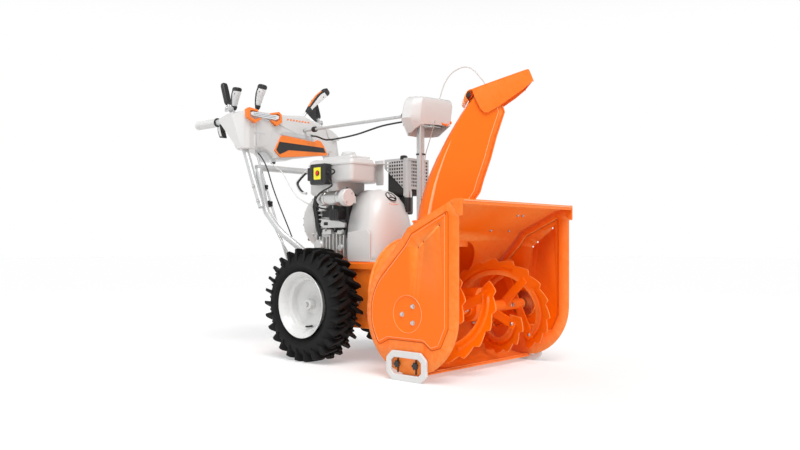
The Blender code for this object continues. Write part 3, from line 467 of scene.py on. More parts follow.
def side_plate(word, side):
    """A pressed plate: its panel stands proud, with a round hub pressing and through holes."""
    bm = bmesh.new()
    front = AUGER_Y - SCROLL_R
    outline = housing_outline(0)[:-1] + arc(AUGER_AXIS, SCROLL_R, -96, -180, 26)
    outline += [(front, 0.498), (front - 0.004, 0.506), (-0.002, 0.511), (-0.002, 0.548), (0.002, 0.5515)]
    rim = [bm.verts.new((side * PLATE_X, y, z)) for y, z in outline]
    panel = [(0.049, 0.17), (0.049, 0.517), (0.064, 0.511), (0.191, 0.451), (0.216, 0.417)]
    panel += arc(AUGER_AXIS, 0.166, 42, -38, 10)
    panel += [(0.284, 0.123), (0.143, 0.123), (0.112, 0.101), (0.077, 0.112)]
    low, high = stepped(bm, rounded(panel, 0.016, 5), 0.0075, PRESS_H, side * PLATE_X, side)
    fill_between(bm, rim, low)
    raised = side * (PLATE_X + PRESS_H)
    hub_low, hub_high = stepped(bm, circle(0.057, 40, HUB), 0.005, -0.003, raised, side)
    holes = [
        [bm.verts.new((raised, y, z)) for y, z in circle(0.0036, 12, place)]
        for place in ((0.078, 0.475), (0.139, 0.426), (0.159, 0.409))
    ]
    fill_between(bm, high, hub_low, *holes)
    fill_between(bm, hub_high)
    made = piece(f"side_plate_{word}_pressed", bm, ORANGE, replaces=[f"side_plate_{word}"], sharp=60)
    thicken(made, SHEET, -1 if normal_side(made) == side else 1)
    # Fine lines of painted shade where the step meets the plate, and of painted highlight along its crest
    # and round the hub's
    foot, crest = (inset(rounded(panel, 0.016, 5), shrink) for shrink in (-0.0004, 0.0085))
    low_plane, high_plane = side * (PLATE_X + 0.0002), raised + side * 0.0004
    for suffix, mat, lines in (("shade", PAINTED_CREASE_SHADE, ((foot, low_plane, 0.0008),)),
                               ("light", PAINTED_HIGHLIGHT, ((crest, high_plane, 0.0008),
                                                 (circle(0.0575, 40, HUB), high_plane, 0.0007)))):
        bm = bmesh.new()
        for loop, plane, thickness in lines:
            add_sweep(bm, [(plane, y, z) for y, z in loop + loop[:1]], circle(thickness, 6))
        piece(f"side_plate_{word}_{suffix}_line", bm, mat, sharp=60)
    places = [(raised - side * 0.0025, y, z) for y, z in ((0.183, 0.23), (0.226, 0.204), (0.183, 0.18))]
    bolts(f"bearing_bolts_{word}", places, (side, 0, 0), radius=0.0062, washer=1.25, sides=16)
    # The folded corner that the top lip wraps round
    fold = [(-0.0025, 0.499), (-0.0025, 0.5525), (0.026, 0.5525), (0.044, 0.546), (0.03, 0.536),
            (0.018, 0.512)]
    prism(f"corner_wrap_{word}", rounded(fold, 0.004, 3), "X", side * (PLATE_X - 0.004),
          side * (PLATE_X + 0.0022), ORANGE, bevel=0.0009)


def normal_side(obj):
    """Which way along X most of the piece faces."""
    return 1 if sum(face.normal.x * face.area for face in obj.data.polygons) > 0 else -1


def housing_back():
    """The rolled top lip, the sloped ceiling and the scroll sheet, open to the impeller."""
    reach = PLATE_X - 0.0045
    bm = bmesh.new()
    rows = [[bm.verts.new((x, y, z)) for x in (-reach, 0, reach)] for y, z in housing_outline(SHEET / 2)]
    skin(bm, rows, closed=False)
    sheet = piece("housing_sheet", bm, ORANGE, replaces=["housing_back"], sharp=28)
    thicken(sheet, SHEET, 0)
    cut_with(sheet, drill("opening_cut", 0.186, 0.22, 0.45, "Y", (0, IMPELLER_Z), steps=72))
    lip = rounded([(-0.004, 0.536), (-0.004, 0.5515), (0.028, 0.5515), (0.028, 0.5475), (0.001, 0.546),
                   (0.001, 0.536)], 0.004, 4)
    prism("top_lip", lip, "X", -reach - 0.004, reach + 0.004, ORANGE, bevel=0.0006)
    # A thin line along the front of the lip, painted as a highlight
    shine = bmesh.new()
    add_sweep(shine, [(x, -0.0045, 0.547) for x in (-reach, 0, reach)], circle(0.0016, 8))
    piece("lip_highlights", shine, PAINTED_HIGHLIGHT, sharp=60)
    seam = [(x, 0.205, 0.4655) for x in (-0.23, -0.12, 0.12, 0.23)] + [(x, 0.1, 0.515) for x in (0.13, 0.16)]
    bolts("ceiling_bolts", seam, (0, -0.42, -0.9), radius=0.0042, height=0.003, sides=16)
    boxes("scraper_edge", [((-reach, 0.168, 0.0155), (reach, 0.234, 0.0205))], ORANGE,
          replaces=["scraper_blade"], bevel=0.0012)
    bolts("scraper_bolts", [(x, 0.202, 0.015) for x in (-0.25, -0.09, 0.09, 0.25)], (0, 0, -1),
          radius=0.006, height=0.003, sides=16)


def skid_shoe(word, side):
    """A moulded frame on its slotted mount, held by two hand knobs."""
    near = PLATE_X + 0.0006
    outer = rounded([(0.125, 0.02), (0.15, 0.0), (0.262, 0.0), (0.288, 0.022), (0.288, 0.07),
                     (0.264, 0.092), (0.149, 0.092), (0.125, 0.07)], 0.012, 5)
    inner = rounded([(0.146, 0.03), (0.158, 0.02), (0.256, 0.02), (0.268, 0.03), (0.268, 0.061),
                     (0.256, 0.071), (0.158, 0.071), (0.146, 0.061)], 0.006, 5)
    bm = bmesh.new()
    loops = [[bm.verts.new((side * x, y, z)) for y, z in outline]
             for outline, x in ((outer, near), (outer, near + 0.01), (inner, near + 0.01), (inner, near))]
    for k in range(4):
        band(bm, loops[k], loops[(k + 1) % 4])
    piece(f"skid_shoe_{word}_moulded", bm, PALE, replaces=[f"skid_shoe_{word}"], bevel=0.0028, segments=3)
    bm = bmesh.new()
    for y, z in ((0.246, 0.05), (0.172, 0.05)):
        add_knob(bm, (side * near, y, z), side, 0.0105, 0.0095)
    piece(f"shoe_knobs_{word}", bm, BLACK, sharp=30)
    # Dark strips painted as the shade seen through the mount's slots
    slots = [((side * near - 0.0006, y - 0.0032, 0.024), (side * near + 0.0006, y + 0.0032, 0.068))
             for y in (0.246, 0.172)]
    boxes(f"shoe_slot_shade_{word}", slots, PAINTED_SHADE_BLACK)


def add_knob(bm, at, side, radius, height):
    """A five-lobed hand knob on a short collar."""
    at = Vector(at)
    rings = []
    for share, scale in ((0.0, 0.45), (0.3, 0.45), (0.32, 0.92), (0.85, 1.0), (1.0, 0.8)):
        ring = []
        for k in range(40):
            a = 2 * math.pi * k / 40
            r = radius * scale * (1 + (0.16 * math.cos(5 * a) if share > 0.3 else 0))
            ring.append(at + Vector((side * height * share, r * math.cos(a), r * math.sin(a))))
        rings.append(ring)
    tube_mesh(bm, rings)


def drum():
    """The impeller housing, with a seam band and the outlet neck the chute turns on."""
    front = 0.19
    shell = [(DRUM_R - SHEET, front), (DRUM_R, front), (DRUM_R, DRUM_REAR - 0.006),
             (DRUM_R - 0.005, DRUM_REAR - 0.001), (0.15, DRUM_REAR - 0.001), (0.146, DRUM_REAR),
             (0.03, DRUM_REAR), (0.03, DRUM_REAR - SHEET), (DRUM_R - 0.008, DRUM_REAR - SHEET - 0.001),
             (DRUM_R - SHEET, DRUM_REAR - 0.01)]
    bm = bmesh.new()
    add_turned(bm, shell, "Y", (0, IMPELLER_Z), 96, closed=True)
    body = piece("drum_shell", bm, ORANGE, replaces=["impeller_housing"], sharp=40)
    cutter = prism("drum_front_cut", inset_scroll(), "X", -0.3, 0.3, ORANGE, body=None)
    way = drill("drum_outlet_cut", 0.085, 0.3, 0.6, "Z", (0, CHUTE_Y))
    cut_with(body, cutter, way)
    neck = [(0.085, 0.41), (0.088, 0.41), (0.088, 0.485), (0.1, 0.488), (0.1, NECK_TOP), (0.085, NECK_TOP)]
    turned("outlet_neck", neck, "Z", (0, CHUTE_Y), ORANGE, steps=64, closed=True)
    ring = [(DRUM_R + 0.0004, 0.478), (DRUM_R + 0.004, 0.479), (DRUM_R + 0.004, 0.487),
            (DRUM_R + 0.0004, 0.488)]
    turned("drum_seam", ring, "Y", (0, IMPELLER_Z), ORANGE, steps=96, closed=True)


def inset_scroll():
    """The room in front of the scroll sheet, which the drum stays out of."""
    wall = [(y + 0.002, z + 0.002) for y, z in housing_outline(0)]
    return wall + [(0.1, -0.02), (-0.1, -0.02), (-0.1, 0.58)]


def cut_with(obj, *tools):
    """Cuts the tools out of a piece, and removes them."""
    for tool in tools:
        modifier = obj.modifiers.new(tool.name, "BOOLEAN")
        modifier.operation = "DIFFERENCE"
        modifier.object = tool
    bpy.context.view_layer.update()
    bake(obj)
    for tool in tools:
        bpy.data.objects.remove(tool)


def bake(obj):
    """Turns a piece's modifiers into its mesh."""
    graph = bpy.context.evaluated_depsgraph_get()
    made = bpy.data.meshes.new_from_object(obj.evaluated_get(graph))
    obj.modifiers.clear()
    obj.data = made
    made.shade_smooth()
    made.set_sharp_from_angle(angle=math.radians(SHARP_ANGLE))


# Auger, gear case and impeller

RIBBON_TURN = 250.0
RIBBON_IN, RIBBON_OUT = 0.065, 0.285
TOOTH_COUNT = 12
RIB_SPANS = ((0.06, 0.42), (0.56, 0.94))
# How far behind the band each level of a bar lies, and its size there
BAR_LEVELS = ((-0.007, 0.985), (-0.006, 1), (-0.003, 1), (-0.002, 0.985))


def ribbon_point(side, phase, share, radius, lift):
    """A point of the helix, at a share of its way out, a radius, and a lift off its face."""
    a = math.radians(phase - RIBBON_TURN * share)
    x = side * (RIBBON_IN + (RIBBON_OUT - RIBBON_IN) * share + lift)
    return Vector((x, AUGER_Y - radius * math.cos(a), AUGER_Z + radius * math.sin(a)))


def tooth_edge(share):
    """The band's toothed outer radius: a slow rise, then a drop."""
    t = (share * TOOTH_COUNT) % 1.0
    rise = min(t / 0.72, 1.0) if t < 0.82 else (1.0 - t) / 0.18
    return AUGER_R - 0.013 + 0.013 * rise


def rib_height(share):
    """How far the pressed ribs stand out at a share of the band's length."""
    for start, end in RIB_SPANS:
        if start <= share <= end:
            edge = min(share - start, end - share) / 0.02
            return 0.0048 * min(1.0, edge)
    return 0.0


def add_ribbon(bm, side, phase):
    """A helical band with a saw-toothed edge and long pressed ribs."""
    steps = TOOTH_COUNT * 16
    near, far = [], []
    for i in range(steps + 1):
        share = i / steps
        edge = tooth_edge(share)
        rib = rib_height(share)
        columns = [(0.108, 0), (0.124, 0), (0.128, rib), (0.134, rib), (0.138, 0), (edge - 0.004, 0),
                   (edge, 0)]
        near.append([bm.verts.new(ribbon_point(side, phase, share, r, lift - 0.0018))
                     for r, lift in columns])
        far.append([bm.verts.new(ribbon_point(side, phase, share, r, lift + 0.0018)) for r, lift in columns])
    for rows in (near, far):
        skin(bm, rows, closed=False)
    for column in (0, -1):
        band(bm, [row[column] for row in near], [row[column] for row in far], closed=False)
    for row in (0, -1):
        band(bm, near[row], far[row], closed=False)


def auger_rake(word, side, phase):
    """Two toothed bands on a tube, with the bars that carry them."""
    bm = bmesh.new()
    add_ribbon(bm, side, phase)
    add_ribbon(bm, side, phase + 180)
    piece(f"rake_ribbons_{word}", bm, ORANGE, "auger", replaces=[f"auger_rake_{word}"], sharp=32)
    profile = [(0.0131, side * 0.046), (0.019, side * 0.046), (0.019, side * 0.292), (0.0131, side * 0.292)]
    turned(f"rake_tube_{word}", profile, "X", AUGER_AXIS, ORANGE, "auger", steps=32, closed=True,
           bevel=0.001)
    bars, heads = bmesh.new(), bmesh.new()
    for share in (0.06, 0.5, 0.94):
        x = side * (RIBBON_IN + (RIBBON_OUT - RIBBON_IN) * share)
        shaft = Vector((x, AUGER_Y, AUGER_Z))
        turn = Matrix.Rotation(-math.radians(phase - RIBBON_TURN * share), 4, "X")
        for way in (-1, 1):
            outline = rounded([(way * 0.014, -0.015), (way * 0.133, -0.015), (way * 0.133, 0.015),
                               (way * 0.014, 0.015)], 0.007, 4)
            tube_mesh(bars, [[shaft + turn @ Vector((side * lift, y * squeeze, z * squeeze))
                              for y, z in outline] for lift, squeeze in BAR_LEVELS])
            if share != 0.5:
                at = shaft + turn @ Vector((-side * 0.007, way * 0.119, 0))
                add_bolt(heads, at, (-side, 0, 0), 0.005, 0.0042, 1.3)
    piece(f"rake_bars_{word}", bars, ORANGE, "auger", bevel=0.0006)
    for x in (0.058, 0.21):
        add_bolt(heads, (side * x, AUGER_Y - 0.0185, AUGER_Z), (0, -1, 0), 0.0062, 0.007, 1.3)
    piece(f"rake_bolts_{word}", heads, STEEL, "auger", sharp=30)


def gear_case():
    """A cast worm case in two bolted halves, with its snout towards the impeller."""
    profile = [(0.0145, -0.038), (0.024, -0.038), (0.026, -0.034), (0.04, -0.031), (0.0435, -0.026),
               (0.0435, -0.005), (0.05, -0.004), (0.05, 0.004), (0.0435, 0.005), (0.0435, 0.026),
               (0.04, 0.031), (0.026, 0.034), (0.024, 0.038), (0.0145, 0.038)]
    turned("gear_case_cast", profile, "X", AUGER_AXIS, ORANGE, steps=48, closed=True, replaces=["gear_case"],
           bevel=0.0012)
    snout = [(0.014, 0.16), (0.03, 0.16), (0.0285, 0.2), (0.026, 0.262), (0.03, 0.268), (0.03, 0.284),
             (0.026, 0.29), (0.014, 0.29)]
    turned("gear_case_snout", snout, "Y", (0, IMPELLER_Z), ORANGE, steps=40, closed=True, bevel=0.001)
    places = []
    for k in range(6):
        a = math.radians(60 * k + 20)
        places.append((-0.0045, AUGER_Y + 0.0465 * math.cos(a), AUGER_Z + 0.0465 * math.sin(a)))
    bolts("gear_case_bolts", places, (-1, 0, 0), radius=0.0048, height=0.0045)
    bolts("gear_case_plugs", [(0, AUGER_Y - 0.05, AUGER_Z), (0.018, AUGER_Y - 0.03, AUGER_Z + 0.031)],
          (0, -0.9, 0.4), radius=0.007, height=0.006)


BLADE_COUNT = 4


def impeller():
    """Blades on their hub, each with a curved tip, a gusset and two bolts."""
    hub = [(0, 0.158), (0.0095, 0.158), (0.0095, 0.372), (0.0245, 0.374), (0.0245, 0.45), (0.0095, 0.452),
           (0.0095, 0.583), (0, 0.583)]
    turned("impeller_hub", hub, "Y", (0, IMPELLER_Z), ORANGE, "impeller_rotor", steps=32, bevel=0.0008,
           replaces=["impeller"])
    bm, heads = bmesh.new(), bmesh.new()
    centre = Vector((0, 0.411, IMPELLER_Z))
    for k in range(BLADE_COUNT):
        turn = Matrix.Rotation(math.radians(360 / BLADE_COUNT * k + 25), 3, "Y")
        rings = []
        for reach, bend in ((0.018, 0), (0.09, 0.001), (0.14, 0.003), (0.16, 0.01), (0.176, 0.02)):
            rings.append([centre + turn @ Vector((reach, y, z + bend))
                          for y, z in rectangle(0, 0, 0.032, 0.002)])
        tube_mesh(bm, rings)
        gusset = [(0.02, 0.03), (0.11, 0.03), (0.02, -0.028)]
        tube_mesh(bm, [[centre + turn @ Vector((r, y, z)) for r, y in gusset] for z in (0.002, 0.02)])
        for r, y in ((0.05, -0.012), (0.115, 0.0)):
            add_bolt(heads, centre + turn @ Vector((r, y, -0.002)), turn @ Vector((0, 0, -1)), 0.0055, 0.004)
    piece("impeller_blades", bm, ORANGE, "impeller_rotor", bevel=0.0007)
    piece("impeller_bolts", heads, STEEL, "impeller_rotor", sharp=30)


for word, side in SIDES:
    side_plate(word, side)
    skid_shoe(word, side)
housing_back()
drum()
auger_rake("right", -1, 40.0)
auger_rake("left", 1, 170.0)
gear_case()
impeller()

# Tractor frame, wheels and belt cover


def tractor_frame():
    """A folded steel box: flanged sides, belly holes and the bolts of the handlebar and the drum."""
    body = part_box("tractor_frame")
    front, rear = DRUM_REAR + 0.0004, body[1].y - ORIGIN.y
    outline = rounded([(-FRAME_X, front), (FRAME_X, front), (FRAME_X, rear), (-FRAME_X, rear)], 0.006, 4)
    bm = bmesh.new()
    rows = [[bm.verts.new((x, y, z)) for x, y in ring]
            for z, ring in ((0.12, outline), (0.128, outline), (0.345, outline), (0.352, outline),
                            (FRAME_TOP, inset(outline, 0.003)))]
    skin(bm, rows)
    bm.faces.new(rows[-1])
    shell = piece("tractor_frame_folded", bm, ORANGE, replaces=["tractor_frame"], sharp=30)
    thicken(shell, SHEET)
    ways = [boxes("belt_slot_cut", [((-0.112, 0.53, 0.3), (0.112, 0.585, 0.4))], ORANGE, body=None)]
    for y, z, radius in ((0.56, 0.165, 0.01), (0.62, 0.3, 0.007), (0.66, 0.15, 0.008), (0.85, 0.16, 0.008)):
        ways.append(drill("lightening_cut", radius, -0.2, 0.2, "X", (y, z), steps=24))
    cut_with(shell, *ways)
    for word, side in SIDES:
        rail = rounded([(0.515, 0.33), (0.515, 0.35), (0.88, 0.35), (0.88, 0.33)], 0.004, 3)
        prism(f"frame_flange_{word}", rail, "X", side * FRAME_X, side * (FRAME_X + 0.01), ORANGE,
              bevel=0.001)
        heads = ((0.53, 0.3), (0.53, 0.19), (0.6, 0.215), (0.83, 0.31), (0.865, 0.26))
        bolts(f"frame_bolts_{word}", [(side * FRAME_X, y, z) for y, z in heads], (side, 0, 0), radius=0.0065,
              height=0.0055)
        plate = rounded([(0.69, 0.155), (0.69, 0.25), (0.79, 0.25), (0.79, 0.155)], 0.018, 5)
        prism(f"axle_plate_{word}", plate, "X", side * (FRAME_X + 0.0002), side * (FRAME_X + 0.0035), ORANGE,
              bevel=0.001)
    hook = [(-0.112, 0.522, 0.352), (-0.113, 0.517, 0.362), (-0.11, 0.519, 0.372), (-0.106, 0.516, 0.38)]
    tube("cover_latch", hook, 0.0022, BLACK)


LUG_COUNT = 26
TREAD_R = 0.195
# Half of the tyre's section, from bead to tread, as (radius, share of its half width)
TYRE_HALF = [(0.1, 0.52), (0.113, 0.6), (0.1165, 0.7), (0.119, 0.78), (0.1215, 0.8), (0.124, 0.83),
             (0.14, 0.93), (0.142, 0.955), (0.146, 0.955), (0.148, 0.955), (0.158, 0.96), (0.168, 0.92),
             (0.1765, 0.8), (0.1815, 0.6), (0.1835, 0.3), (0.184, 0.0)]
# The rim's pressed section, as (radius, distance out from the machine's middle)
RIM_SECTION = [(0.108, 0.278), (0.1125, 0.283), (0.115, 0.2862), (0.1166, 0.2868), (0.1176, 0.2855),
               (0.1172, 0.2835), (0.113, 0.28), (0.1095, 0.274), (0.104, 0.266), (0.103, 0.25),
               (0.1, 0.244), (0.099, 0.23), (0.099, 0.185), (0.104, 0.18), (0.113, 0.172), (0.1172, 0.169),
               (0.115, 0.1665), (0.111, 0.168), (0.099, 0.179), (0.096, 0.185), (0.096, 0.22),
               (0.088, 0.2225), (0.08, 0.2235), (0.042, 0.2215), (0.038, 0.218), (0.03, 0.2175),
               (0.0098, 0.2175), (0.0098, 0.253), (0.015, 0.253), (0.0175, 0.251), (0.018, 0.226),
               (0.03, 0.2225), (0.037, 0.2235), (0.041, 0.2265), (0.078, 0.229), (0.083, 0.23),
               (0.085, 0.233), (0.0862, 0.248), (0.089, 0.2525), (0.095, 0.2545), (0.0985, 0.258),
               (0.1, 0.266)]
# A lug's stations from the middle outwards: distance out, top and foot radius, how far round, half width
LONG_LUG = ((0.004, 0.202, 0.18, -0.013, 0.005), (0.018, 0.2025, 0.18, -0.007, 0.0066),
            (0.036, 0.2025, 0.179, 0.002, 0.0056), (0.05, 0.202, 0.175, 0.009, 0.0062),
            (0.06, 0.1985, 0.164, 0.013, 0.0048), (0.0613, 0.176, 0.156, 0.014, 0.003))
SHORT_LUG = ((0.016, 0.1965, 0.18, 0.001, 0.0036), (0.028, 0.197, 0.18, 0.005, 0.0048),
             (0.041, 0.193, 0.177, 0.009, 0.003))


def add_lug(bm, centre_x, way, angle, stations):
    """A tread block lofted from the middle of the tread out over the shoulder."""
    rings = []
    for out, top, foot, ahead, half in stations:
        ring = []
        for radius, spread in ((foot, half * 1.25), (top, half), (top, -half), (foot, -half * 1.25)):
            a = angle + (ahead + spread) / TREAD_R
            ring.append(Vector((centre_x + way * out, WHEEL_Y + radius * math.cos(a),
                                WHEEL_Z + radius * math.sin(a))))
        rings.append(ring)
    tube_mesh(bm, rings)


def tyre(word, side):
    """The carcass, its lugs, which alternate from side to side, and a fine line round each sidewall."""
    body = f"wheel_{word}"
    middle = side * (WHEEL_INNER + WHEEL_OUTER) / 2
    half = (WHEEL_OUTER - WHEEL_INNER) / 2
    profile = [(r, middle - half * t) for r, t in TYRE_HALF]
    profile += [(r, middle + half * t) for r, t in TYRE_HALF[-2::-1]]
    bm = bmesh.new()
    add_turned(bm, profile, "X", (WHEEL_Y, WHEEL_Z), 120, closed=True)
    piece(f"tyre_{word}_carcass", bm, TYRE, body, replaces=[f"tyre_{word}"], sharp=50)
    bm = bmesh.new()
    for k in range(LUG_COUNT):
        for way in (-1, 1):
            angle = 2 * math.pi * (k + (0.25 if way > 0 else 0.75)) / LUG_COUNT
            add_lug(bm, middle, way, angle, LONG_LUG)
            add_lug(bm, middle, way, angle + math.pi / LUG_COUNT, SHORT_LUG)
    piece(f"tread_{word}", bm, TYRE, body, sharp=30, bevel=0.001, segments=1)
    for place, out in (("inner", -1), ("outer", 1)):
        face = middle + out * half * 0.868
        ridge = [(0.129, face), (0.1296, face + out * 0.001), (0.1304, face)]
        turned(f"rim_line_{word}_{place}", ridge, "X", (WHEEL_Y, WHEEL_Z), TYRE, body, steps=96)


def rim(word, side):
    """The dished rim, its valve stem, and the pin and clip through its hub."""
    body = f"wheel_{word}"
    turned(f"rim_{word}_pressed", [(r, side * x) for r, x in RIM_SECTION], "X", (WHEEL_Y, WHEEL_Z),
           RIM_WHITE, body, steps=96, closed=True, replaces=[f"rim_{word}"], sharp=40)
    pin_x = side * 0.2435
    pin = bmesh.new()
    for z, way in ((-0.018, -1), (0.0165, 1)):
        add_bolt(pin, (pin_x, WHEEL_Y, WHEEL_Z + z), (0, 0, way), 0.0034, 0.004, 1.3)
    piece(f"hub_pin_{word}", pin, STEEL, body, sharp=30)
    clip = [(pin_x, WHEEL_Y + 0.0185 * math.cos(a), WHEEL_Z + 0.0205 * math.sin(a))
            for a in [math.radians(90 - 18 * k) for k in range(11)]]
    tube(f"hub_clip_{word}", clip, 0.0012, STEEL, body, sides=8)
    stem = Vector((side * 0.232, WHEEL_Y - 0.004, WHEEL_Z - 0.0775))
    tube(f"valve_stem_{word}", [stem, stem + Vector((side * 0.016, 0, -0.001)),
                                stem + Vector((side * 0.028, 0.001, 0))], 0.0036, BLACK, body, sides=12)


EMBLEM_X, EMBLEM_Z = -0.016, 0.591


def on_cover(cover, x, z):
    """The point of the cover's front at one X and height, and the direction it faces."""
    hit, point, normal, _ = cover.ray_cast(Vector((x, 0.3, z)), Vector((0, 1, 0)))
    if not hit:
        raise ValueError(f"the cover has no front at {x}, {z}")
    return point, normal if normal.y < 0 else -normal


def belt_cover():
    """The tall domed shell, its side panel and its foot."""
    levels = ((0.3555, 0.118, 0.0), (0.38, 0.118, 0.0), (0.44, 0.116, 0.001), (0.49, 0.11, 0.004),
              (0.53, 0.099, 0.01), (0.565, 0.085, 0.02), (0.59, 0.068, 0.033), (0.606, 0.05, 0.05),
              (0.615, 0.032, 0.068), (0.619, 0.014, 0.084))
    bm = bmesh.new()
    rings = []
    for z, half, back in levels:
        points = []
        for cx, sy in arc((0, 0), 1, 180, 360, 28):
            x = COVER_X + half * math.copysign(abs(cx) ** 0.72, cx)
            points.append((x, 0.516 + back + 0.046 * (1 - abs(sy) ** 1.25), z))
        points += [(COVER_X + half, 0.664, z), (COVER_X - half, 0.664, z)]
        rings.append(points)
    rows = [[bm.verts.new(p) for p in ring] for ring in rings]
    for first, second in zip(rows, rows[1:]):
        for i in range(len(first) - 2):
            bm.faces.new((first[i], first[i + 1], second[i + 1], second[i]))
        for i in (len(first) - 3, len(first) - 1):
            j = (i + 1) % len(first)
            if not bm.faces.get((first[i], first[j], second[j], second[i])):
                bm.faces.new((first[i], first[j], second[j], second[i]))
    bm.faces.new(rows[-1])
    cover = piece("belt_cover_shell", bm, WHITE, replaces=["belt_cover"], sharp=50)
    cover_marks(cover)
    thicken(cover, SHEET)
    panel = rounded([(0.546, 0.356), (0.546, 0.453), (0.558, 0.47), (0.658, 0.462), (0.658, 0.356)], 0.006,
                    4)
    prism("cover_side_panel", panel, "X", COVER_X - 0.1205, COVER_X - 0.114, WHITE, bevel=0.0018, segments=3)
    # The tinplate lip that the cover sits in
    foot = rounded([(-0.128, 0.512), (0.108, 0.512), (0.108, 0.66), (-0.128, 0.66)], 0.01, 4)
    prism("cover_foot", foot, "Z", FRAME_TOP, FRAME_TOP + 0.006, WHITE, bevel=0.0015)


def cover_marks(cover):
    """A plain wheel mark with three spokes, and a row of dashes under it, on the cover's front."""
    emblem, dashes = bmesh.new(), bmesh.new()
    spot, facing = on_cover(cover, EMBLEM_X, EMBLEM_Z)
    turn = facing.to_track_quat("Z", "Y").to_matrix()
    for inner, outer in ((0.0195, 0.023), (0.003, 0.006)):
        tube_mesh(emblem, [[spot + turn @ Vector((x, y, h)) for x, y in circle(r, 40)]
                           for r, h in ((inner, -0.003), (outer, -0.003), (outer, 0.001), (inner, 0.001),
                                        (inner, -0.003))], caps=False)
    for k in range(3):
        a = math.radians(90 + 120 * k)
        spoke = [(0.0045, -0.0016), (0.02, -0.0016), (0.02, 0.0016), (0.0045, 0.0016)]
        rows = [[spot + turn @ Vector((x * math.cos(a) - y * math.sin(a), x * math.sin(a) + y * math.cos(a),
                                       h)) for x, y in spoke] for h in (-0.003, 0.0009)]
        tube_mesh(emblem, rows)
    piece("cover_emblem", emblem, BLACK, sharp=30)
    for k in range(6):
        sag = 0.0022 * math.sin(math.pi * k / 5)
        place, out = on_cover(cover, EMBLEM_X - 0.022 + 0.0088 * k, EMBLEM_Z - 0.027 - sag)
        turn = out.to_track_quat("Z", "Y").to_matrix()
        tube_mesh(dashes, [[place + turn @ Vector((x, y, h)) for x, y in rectangle(0, 0, 0.0026, 0.0013)]
                           for h in (-0.002, 0.0006)])
    piece("cover_dashes", dashes, TRIM)


for word, side in SIDES:
    tyre(word, side)
    rim(word, side)
tractor_frame()
belt_cover()

# Engine: block, tank, recoil starter, electric starter, switch, carburettor cover and exhaust


def block():
    """The castings: crankcase, cylinder head and sump."""
    boxes("crankcase_cast", [((-0.108, 0.672, FRAME_TOP + 0.002), (0.112, 0.858, 0.47)),
                             ((-0.095, 0.7, 0.465), (0.1, 0.852, 0.5965)),
                             ((0.092, 0.695, 0.425), (0.2, 0.815, 0.56))], METAL, replaces=["engine_block"],
          bevel=0.01, segments=3)
    crankcase_face()
    crankcase_fittings()


def crankcase_face():
    """Dark blocks of painted shade in the crevices, lugs and a cover plate on the crankcase's right side,
    and the cooling fins.
    """
    # Dark blocks painted as shade in the crevices, along a gap at the rear and under the electric starter
    shade = bmesh.new()
    add_box(shade, (-0.1105, 0.672, 0.44), (-0.09, 0.69, 0.59))
    add_box(shade, (-0.1105, 0.7, 0.462), (-0.09, 0.842, 0.478))
    add_prism(shade, [(0.7, 0.519), (0.806, 0.519), (0.806, 0.552), (0.77, 0.566), (0.7, 0.566)], "X",
              -0.12, -0.09)
    shaded_gap = [(0.858, 0.6), (0.868, 0.56), (0.852, 0.5), (0.836, 0.44), (0.822, 0.372), (0.806, 0.372),
           (0.818, 0.44), (0.834, 0.5), (0.846, 0.555), (0.84, 0.6)]
    add_prism(shade, shaded_gap, "X", -0.1135, -0.09)
    piece("crankcase_painted_shade", shade, PAINTED_SHADE_BLACK, bevel=0.002)
    plate = rounded([(0.676, 0.478), (0.676, 0.496), (0.706, 0.505), (0.8, 0.512), (0.806, 0.486),
                     (0.788, 0.478)], 0.004, 3)
    prism("crankcase_plate", plate, "X", -0.129, -0.115, METAL, bevel=0.0025)
    # A dark mark painted as the shade inside the plate's slot
    boxes("crankcase_plate_slot_shade", [((-0.1296, 0.764, 0.488), (-0.128, 0.786, 0.5))], PAINTED_SHADE_BLACK, bevel=0.0006)
    boxes("crankcase_lugs", [((-reach, y0, z0), (-0.095, y1, z1)) for y0, z0, y1, z1, reach in (
        (0.69, 0.452, 0.716, 0.47, 0.13), (0.752, 0.452, 0.8, 0.474, 0.126),
        (0.7, 0.556, 0.716, 0.592, 0.12), (0.8, 0.54, 0.82, 0.586, 0.126))], METAL, bevel=0.005, segments=3)
    bm = bmesh.new()
    for k in range(9):
        y = 0.684 + 0.0185 * k
        add_box(bm, (-0.124, y, 0.372), (-0.1, y + 0.0052, 0.452 + 0.008 * math.sin(k * 0.8)))
    for k in range(7):
        z = 0.476 + 0.0165 * k
        add_box(bm, (-0.108, 0.702, z), (-0.09, 0.846, z + 0.005))
    for k in range(8):
        x = 0.1 + 0.013 * k
        add_box(bm, (x, 0.688, 0.42), (x + 0.0035, 0.822, 0.565))
    piece("cooling_fins", bm, METAL, bevel=0.0012)


